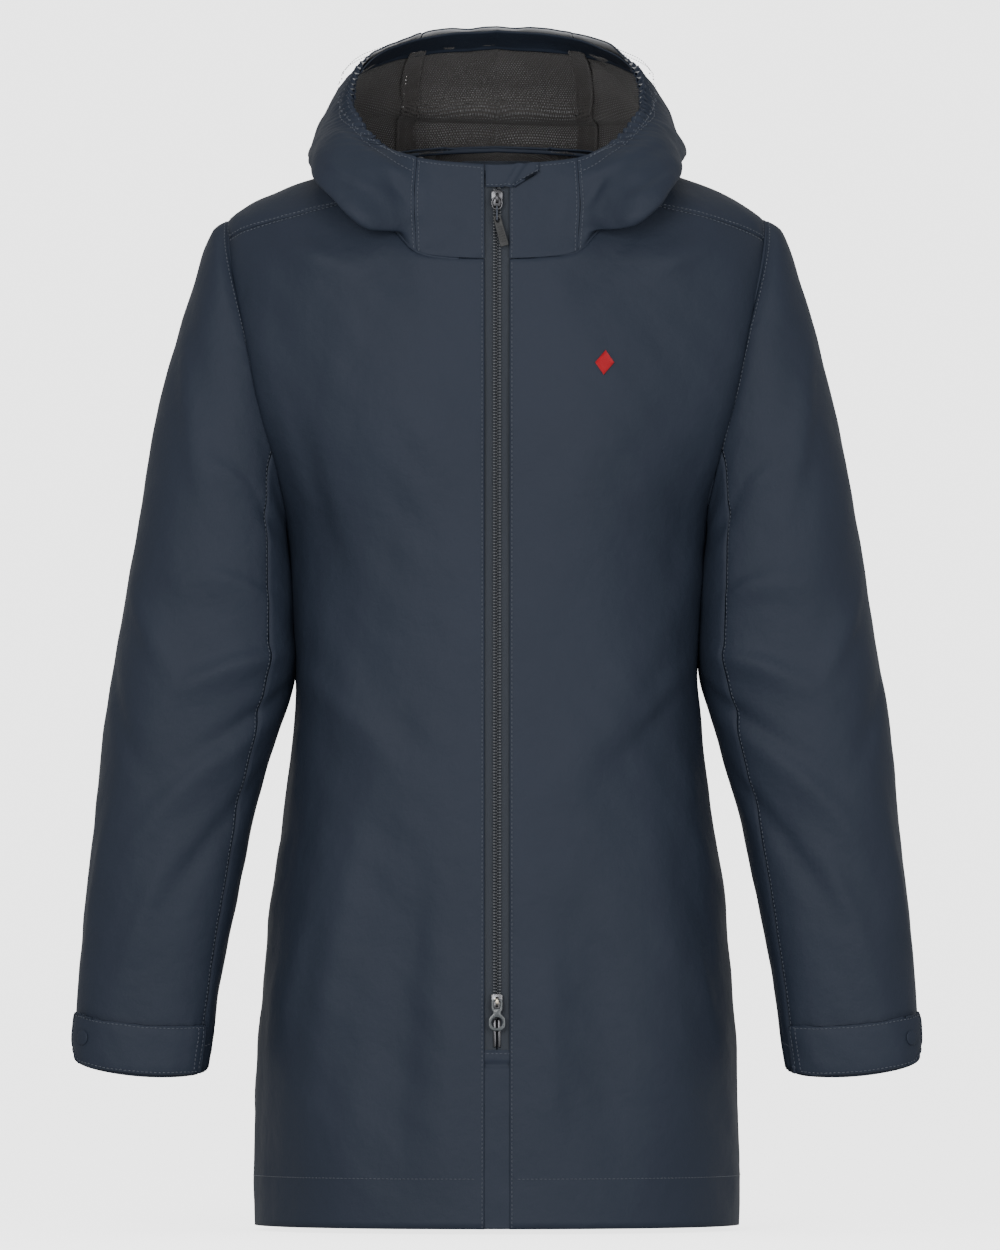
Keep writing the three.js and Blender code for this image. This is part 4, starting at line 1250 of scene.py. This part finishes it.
def zipFitting(name, size, centre, node):
    bm = bmesh.new()
    block(bm, size, centre, 0.5, 2)
    zipPiece(name, bm, "nickel", "shell", "dark_metal", (0, 0, 0), [node])


def buildTeeth():
    for side, name in ((1, "left"), (-1, "right")):
        tooth = bmesh.new()
        block(tooth, (2.3, teeth["thick"], 1.55), (side * 2.25, 2, 0), 0.35, 1)
        block(tooth, (1.7, 1.2, 1.0), (side * 0.55, 2.25, 0), 0.25, 1)
        single = bpy.data.meshes.new("tooth")
        tooth.to_mesh(single)
        tooth.free()
        bm = bmesh.new()
        low = alongZip(teeth["low"]) + (teeth["pitch"] / 2 if side > 0 else 0)
        for z in np.arange(low, alongZip(teeth["high"]), teeth["pitch"]):
            before = len(bm.verts)
            bm.from_mesh(single)
            bm.verts.ensure_lookup_table()
            bmesh.ops.translate(bm, verts=bm.verts[before:], vec=(0, 0, z))
        nodes = ["zip_teeth_" + name]
        zipPiece("zip_teeth_row_" + name, bm, "teeth", "shell", "zip_plastic", (0, 0, 0), nodes)
        stop = (side * 2.3, 2, alongZip(teeth["high"]) + 2)
        zipFitting("zip_stop_" + name, (3.2, 2.2, 3), stop, "zip_top_stop_" + name)
        pin = (side * 1.75, 2.1, alongZip(teeth["low"]) - 12)
        zipFitting("zip_end_pin_" + name, (2.2, 2, 22), pin, "zip_pin_" + name)


# A flat strip on the zip's line, from x0 to x1 and from one height to another.
def zipCloth(x0, x1, z0, z1, y):
    low, high = alongZip(z0), alongZip(z1)
    return lambda u, v: onZip(x0 + (x1 - x0) * u, y + 0 * u, low + (high - low) * v)


# The stitched turning across the cloth below the bottom slider.
def tuck(p, outward, edges, u, v):
    return -1.6 * np.exp(-(((p[:, 2] - 131) / 2.2) ** 2)) + 0.4 * wave(p, (40, 22), 103)


def buildZipCloth():
    for side in ("left", "right"):
        strip = onSide(side, zipCloth(0.6, 16, 140, 838, 3.2))
        tape = Cloth(strip, 10, 200, ripple(0.15, (40, 24), 97), rolled="")
        panel("zip_tape_band_" + side, tape, "shell", "tape_weave", ["zip_tape_" + side], "tape", None, 0.7)
    flap = Cloth(zipCloth(-26, 26, 3, 845, 6.6), 16, 220, ripple(0.5, (60, 35), 99), rolled="lr", roll=0.6)
    panel("storm_flap_cloth", flap, "shell", "shell_cloth", ["storm_flap"], "navy", "navy", 1.4)
    foot = Cloth(zipCloth(-12.5, 12.5, 0.2, 143, 1.8), 12, 90, tuck, rolled="t")
    panel("placket_foot", foot, "shell", "shell_cloth", [], "navy", "navy", 1.0)
    stitchRows("placket_stitches", [along(foot, "t", 3)], "shell")


sliderSize = {"wide": 9.2, "long": 13, "plate": 1.1, "archLong": 8.4, "archRise": 4.1, "foot": -1.3}
sliderAt = {"top": 822, "bottom": 181}  # heights


# One slider; nose is +1 when it points up. The plates are waisted towards the tail.
def buildSlider(name, height, nose, node, look):
    wide, tall = sliderSize["wide"] / 2, sliderSize["long"] / 2
    half = [(0.55, nose * tall), (1, nose * tall * 0.75), (1, nose * tall * 0.1), (0.8, -nose * tall)]
    right = [(wide * share, z) for share, z in half]
    left = [(-x, z) for x, z in right[::-1]]
    outline = rounded(left[2:] + right + left[:2], 1.4)
    bm = bmesh.new()
    slab(bm, [outline], -0.75, sliderSize["plate"], 0.35)
    slab(bm, [outline], 5.1, sliderSize["plate"], 0.3)
    block(bm, (0.9, 5.4, 4), (0, 2.2, nose * 4), 0.2)
    for side in (-1, 1):
        block(bm, (0.8, 3.2, 11.4), (side * (wide - 0.45), 1, 0), 0.25)
    rise, reach = sliderSize["archRise"], sliderSize["archLong"] / 2 - 0.5
    turn = np.linspace(0, np.pi, 15)
    path = [(sliderSize["foot"] - (rise - 0.5) * np.sin(t) ** 0.55, reach * np.cos(t)) for t in turn]
    for shift in (-0.7, 0, 0.7):
        wire(bm, [(shift, y, z) for y, z in path], 0.5, False)
    zipPiece(name, bm, look, node, "dark_metal", (0, 0, alongZip(height)), [node])


pullDepth = -0.2 - 1.1 - 1.75  # front plate's face, its thickness, then half the arch's opening
cordLoop = {"deep": 2.34, "tall": 5.2, "twist": 0.33, "turns": 9, "strand": 0.4}


def pullPiece(name, bm, look, body, slotName, z, node):
    zipPiece(name, bm, look, body, slotName, (0, pullDepth, z), [node])


# One of the two strands that twist round each other in the top pull's cord.
def cordStrand(phase):
    points = []
    for t in np.linspace(0, 2 * np.pi, 90, endpoint=False):
        swing = cordLoop["turns"] * t + np.pi * phase
        out = cordLoop["twist"] * math.sin(swing)
        y, z = (cordLoop["deep"] + out) * math.cos(t), (cordLoop["tall"] + out) * math.sin(t)
        points.append((cordLoop["twist"] * math.cos(swing), y, z))
    return points


def buildPulls():
    top, low = alongZip(sliderAt["top"]), alongZip(sliderAt["bottom"])
    bm = bmesh.new()
    wire(bm, [(x, 0, z) for x, z in ovalPoints(0, 0, 4.05, 4.75, 40, 0.9)], 0.72, True, 4)
    pullPiece("pull_ring", bm, "nickel", "top_pull", "dark_metal", top - 4.2, "top_pull_ring")
    for phase in (0, 1):
        bm = bmesh.new()
        wire(bm, cordStrand(phase), cordLoop["strand"], True, 2)
        name = "pull_cord_strand_" + str(phase)
        pullPiece(name, bm, "thread", "top_pull", "rubber", top - 12, "top_pull_cord")
    bm = bmesh.new()
    outline = rounded([(-3, 1.2), (3, 1.2), (3.5, -24), (-3.5, -24)], 1.2)
    slab(bm, [outline, ovalPoints(0, -2.4, 1.7, 2.2, 20)], 0, 1.5, 0.35)
    for z in np.arange(-8, -22, -2):
        block(bm, (4.2, 0.5, 0.8), (0, -0.75, z), 0.2)
    bmesh.ops.rotate(bm, cent=(0, 0, 0), matrix=Matrix.Rotation(-0.26, 3, "Y"), verts=bm.verts)
    pullPiece("pull_tab", bm, "rubber", "top_pull", "rubber", top - 15.2, "top_pull_tab")
    bm = bmesh.new()
    half = [(4.4, 2.2), (4.4, -6.4), (2.4, -9), (6.6, -13), (6.6, -20), (3.6, -23)]
    outline = rounded([(-x, z) for x, z in half] + half[::-1], 2.2, 6)
    eye = rounded([(-2.6, 0.8), (2.6, 0.8), (2.6, -5.4), (-2.6, -5.4)], 1.2)
    slab(bm, [outline, eye, ovalPoints(0, -16.6, 4.6, 4.3, 32)], 0, 1.3, 0.4)
    wire(bm, [(x, -0.45, z) for x, z in ovalPoints(0, -16.6, 5.4, 5.0, 40)], 0.35, True, 2)
    pullPiece("finger_pull", bm, "pull", "bottom_pull", "pull_metal", low, "bottom_pull")


garageSize = {"from": -9, "wide": 42}


# The little flap over the top of the zip, from just past it to well on to the wearer's left.
def garageSurface(u, v):
    x = garageSize["from"] + garageSize["wide"] * u
    low = 0.76 + 0.2 * np.clip((x - 12) / 30, 0, 1)
    p = hoodPoint(np.abs(x) * 0.16 / 64, low + (0.997 - low) * v)
    p[:, 0] = x
    return p


def garageFold(p, outward, edges, u, v):
    across = (u - 0.55) * garageSize["wide"] - (v - 0.5) * 12
    return 1.3 * np.exp(-(across / 3.2) ** 2) + 0.3 * wave(p, (18, 11), 107)


def buildGarage():
    cloth = Cloth(garageSurface, 44, 22, garageFold, rolled="lrb", roll=0.7, pucker=0.2)
    panel("zip_garage_flap", cloth, "hood", "shell_cloth", ["zip_garage"], "navy", "navy", 1.6, 2.4)
    rows = [along(cloth, "b", 2.2), along(cloth, "r", 2.2)]
    stitchRows("garage_stitches", [(p + o * 2.4, o) for p, o in rows], "hood")


buildWelts()
buildTeeth()
buildZipCloth()
buildSlider("top_slider_body", sliderAt["top"], 1, "top_slider", "nickel")
buildSlider("bottom_slider_body", sliderAt["bottom"], -1, "bottom_slider", "worn")
buildPulls()
buildGarage()
print("zip made")


# Turns round the cuff in degrees, shares of the way down the sleeve, and mm out from it.
tabSize = {"from": 22, "round": 121, "cloth": 117.5, "down": 0.952, "tall": 0.044, "proud": 5.4}


# The cloth ends a little short of the sewn end, so that it clears the under sleeve as the tab opens.
def tabSurface(u, v):
    low = np.where(u < 0.12, v * (0.72 + 2.3 * u), v)
    return sleeveSurface(tabSize["from"] + tabSize["cloth"] * u, tabSize["down"] + tabSize["tall"] * low)


def tabPlace(u, v):
    turn, down = tabSize["from"] + tabSize["round"] * u, tabSize["down"] + tabSize["tall"] * v
    near = sleeveSurface(np.array([turn, turn + 1, turn]), np.array([down, down, down + 0.002]))
    a, b = near[1] - near[0], near[2] - near[0]
    return near[0], a, b


# A frame with z out of the surface and x towards the next place, in millimetres above the hem.
def frameAt(p, a, b, out, side):
    n = np.cross(a, b)
    n, a = n / np.linalg.norm(n), a / np.linalg.norm(a)
    b = np.cross(n, a)
    p = p + n * out
    columns = [np.array(w) * ((side, 1, 1) if side < 0 else (1, 1, 1)) for w in (a, b, n)]
    centre = toRow(p * np.array([side, 1, 1]))
    rows = [[columns[k][i] * 0.001 for k in range(3)] + [centre[i]] for i in range(3)]
    return Matrix(rows + [[0, 0, 0, 1]])


# A turned part: radii and heights of its profile, spun about its axis.
def turned(bm, profile, steps=32):
    verts = [bm.verts.new((r, 0, h)) for r, h in profile]
    edges = [bm.edges.new(pair) for pair in zip(verts, verts[1:])]
    around = {"cent": (0, 0, 0), "axis": (0, 0, 1), "angle": 2 * math.pi, "steps": steps}
    bmesh.ops.spin(bm, geom=verts + edges, use_merge=True, use_duplicate=False, **around)
    bmesh.ops.remove_doubles(bm, verts=bm.verts, dist=0.001)


studProfile = [
    (0, 0), (4.0, 0), (4.2, 0.2), (4.2, 0.6), (3.9, 0.85), (2.6, 0.8), (2.2, 0.55), (1.9, 0.6), (1.75, 1.2),
    (1.9, 1.8), (1.6, 2.15), (0, 2.2),
]
socketProfile = [
    (1.9, 0.1), (4.0, 0), (4.25, 0.25), (4.2, 1.2), (3.8, 1.45), (2.3, 1.45), (1.9, 1.2), (1.9, 0.1),
]
capProfile = [(0, 0), (5.6, 0), (6.0, 0.2), (6.05, 0.5), (5.7, 0.9), (4.4, 1.15), (2, 1.3), (0, 1.32)]
fasteners = [  # piece, node, profile, at the spare's place, how far out, body, look, slot
    ("press_stud_", "cuff_stud_", studProfile, False, 0.4, "sleeve_", "steel", "dark_metal"),
    ("stud_socket_", "tab_socket_", socketProfile, False, 1.4, "cuff_tab_", "pull", "pull_metal"),
    ("stud_cap_", "tab_cap_", capProfile, False, 5.6, "cuff_tab_", "navy", "shell_cloth"),
    ("spare_stud_", "cuff_stud_spare_", studProfile, True, 0.6, "sleeve_", "steel", "dark_metal"),
]


# Studs, sockets and caps are rigid, so they ride and never blend.
def buildFasteners(name, side):
    near = sleeveSurface(np.array([4.0, 5.0, 4.0]), np.array([0.97, 0.97, 0.972]))
    spare, closing = (near[0], near[1] - near[0], near[2] - near[0]), tabPlace(0.14, 0.45)
    for piece, node, profile, atSpare, out, body, look, slotName in fasteners:
        bm = bmesh.new()
        turned(bm, profile)
        where = spare if atSpare else closing
        bmesh.ops.transform(bm, matrix=frameAt(*where, out, side), verts=bm.verts)
        bmesh.ops.recalc_face_normals(bm, faces=bm.faces)
        obj = finishMesh(piece + name, bm, looks[look])
        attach(obj, body + name)
        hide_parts(node + name)


def buildCuffs():
    out = tabSize["proud"]
    for side, name, sewnEdge in ((1, "left", "r"), (-1, "right", "l")):
        surface = onSide(name, tabSurface)
        tab = Cloth(surface, 60, 12, ripple(0.5, (30, 18), 111), roll=0.9, pucker=0.3)
        body = "cuff_tab_" + name
        panel("cuff_tab_cloth_" + name, tab, body, "shell_cloth", [body], "navy", "navy", 1.5, out)
        rows = [along(tab, s, 2.2, 0.03, 0.97) for s in "lrbt"] + [along(tab, sewnEdge, 6, 0.05, 0.95)]
        stitchRows("tab_stitches_" + name, [(p + o * out, o) for p, o in rows], body)
        buildFasteners(name, side)


lozenge = {"x": 84, "height": 691, "halfWide": 7.5, "halfTall": 10, "proud": 1.9, "crown": 1.1}


def buildEmblem():
    bm = bmesh.new()
    layer = bm.loops.layers.uv.new("cloth")
    bmesh.ops.create_grid(bm, x_segments=24, y_segments=24, size=0.5)
    table = np.array(bodySections)
    wide = smooth(table[:, 0], table[:, 1:], np.array([float(lozenge["height"])]))[0, 0]
    middle = math.degrees(math.asin(lozenge["x"] / wide))
    for v in bm.verts:
        x, z = (v.co.x - v.co.y) * lozenge["halfWide"], (v.co.x + v.co.y) * lozenge["halfTall"]
        angle = middle + math.degrees(x / wide) * 1.08
        p = bodyPoint(np.array([angle]), np.array([lozenge["height"] + z]))[0]
        rim = max(abs(v.co.x), abs(v.co.y)) * 2
        p = p + np.array([0.25, -1, 0]) / 1.03 * (lozenge["proud"] + lozenge["crown"] * (1 - rim**6))
        v.co = toRow(p)
    for face in bm.faces:
        for loop in face.loops:
            loop[layer].uv = (loop.vert.co.x, loop.vert.co.z)
    obj = finishMesh("embroidered_lozenge", bm, looks["red"])
    place(obj, "shell", "red_thread", "emblem")
    solid = obj.modifiers.new("thickness", "SOLIDIFY")
    solid.thickness = 0.001
    solid.offset = -1


buildCuffs()
buildEmblem()
print("cuffs and emblem made")


studio = {"floor": 200, "level": 100, "world": 0.7, "glow": 2.6}  # half width and flat reach in metres
lamps = {  # place from the jacket's middle in metres, size, watts
    "key": ((-0.9, -2.9, 0.75), (1.2, 1.4), 62),
    "fill": ((1.3, -2.8, 0.2), (1.4, 2.0), 50),
    "top": ((0, 0.2, 2.6), (1.6, 1.2), 8),
}


def lamp(name, where, target, size, watts):
    light = bpy.data.lights.new(name, "AREA")
    light.shape = "RECTANGLE"
    light.size, light.size_y = size
    light.energy = watts
    holder = bpy.data.objects.new(name, light)
    bpy.context.scene.collection.objects.link(holder)
    holder.location = where
    holder.rotation_euler = (Vector(target) - Vector(where)).to_track_quat("-Z", "Y").to_euler()


view = {"away": 24.0, "rise": 0.15, "lens": 36 * 24.0, "middle": (0.0024, 0.481)}


def buildStudio():
    bm = bmesh.new()
    bmesh.ops.create_grid(bm, x_segments=60, y_segments=60, size=studio["floor"])
    for v in bm.verts:
        beyond = max(0.0, math.hypot(v.co.x, v.co.y) - studio["level"])
        v.co.z = 0.01 * beyond**2 + hemOrigin[2] - 0.004
    glow = {"Emission Color": (1, 1, 1, 1), "Emission Strength": studio["glow"]}
    s = Shader("studio_floor", {"Roughness": 0.9, **glow})
    s.done(Base_Color=s.mix(s.noise(3), (0.86, 0.86, 0.86), (0.9, 0.9, 0.9)))
    floor = finishMesh("studio_floor", bm, s.material)
    floor.visible_diffuse = floor.visible_glossy = False
    floor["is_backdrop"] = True
    world = bpy.data.worlds.new("studio")
    world.use_nodes = True
    background = world.node_tree.nodes["Background"]
    background.inputs[0].default_value = (1, 1, 1, 1)
    background.inputs[1].default_value = studio["world"]
    bpy.context.scene.world = world
    centre = toRow([0, 0, 480])
    for name, (away, size, watts) in lamps.items():
        lamp(name, centre + np.array(away), centre, size, watts)
    camera = bpy.data.cameras.new("camera")
    camera.sensor_fit = "VERTICAL"
    camera.sensor_height = 36
    camera.lens = view["lens"]
    holder = bpy.data.objects.new("camera", camera)
    bpy.context.scene.collection.objects.link(holder)
    target = Vector(hemOrigin) + Vector((view["middle"][0], -0.05, view["middle"][1]))
    holder.location = target + Vector((0, -view["away"], view["rise"]))
    holder.rotation_euler = (target - holder.location).to_track_quat("-Z", "Y").to_euler()
    bpy.context.scene.camera = holder


buildStudio()
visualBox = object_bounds()
boxes = {"cad": cadBox, "visual": visualBox}
{name: [list(map(float, row)) for row in box] for name, box in boxes.items()}
print("all made")
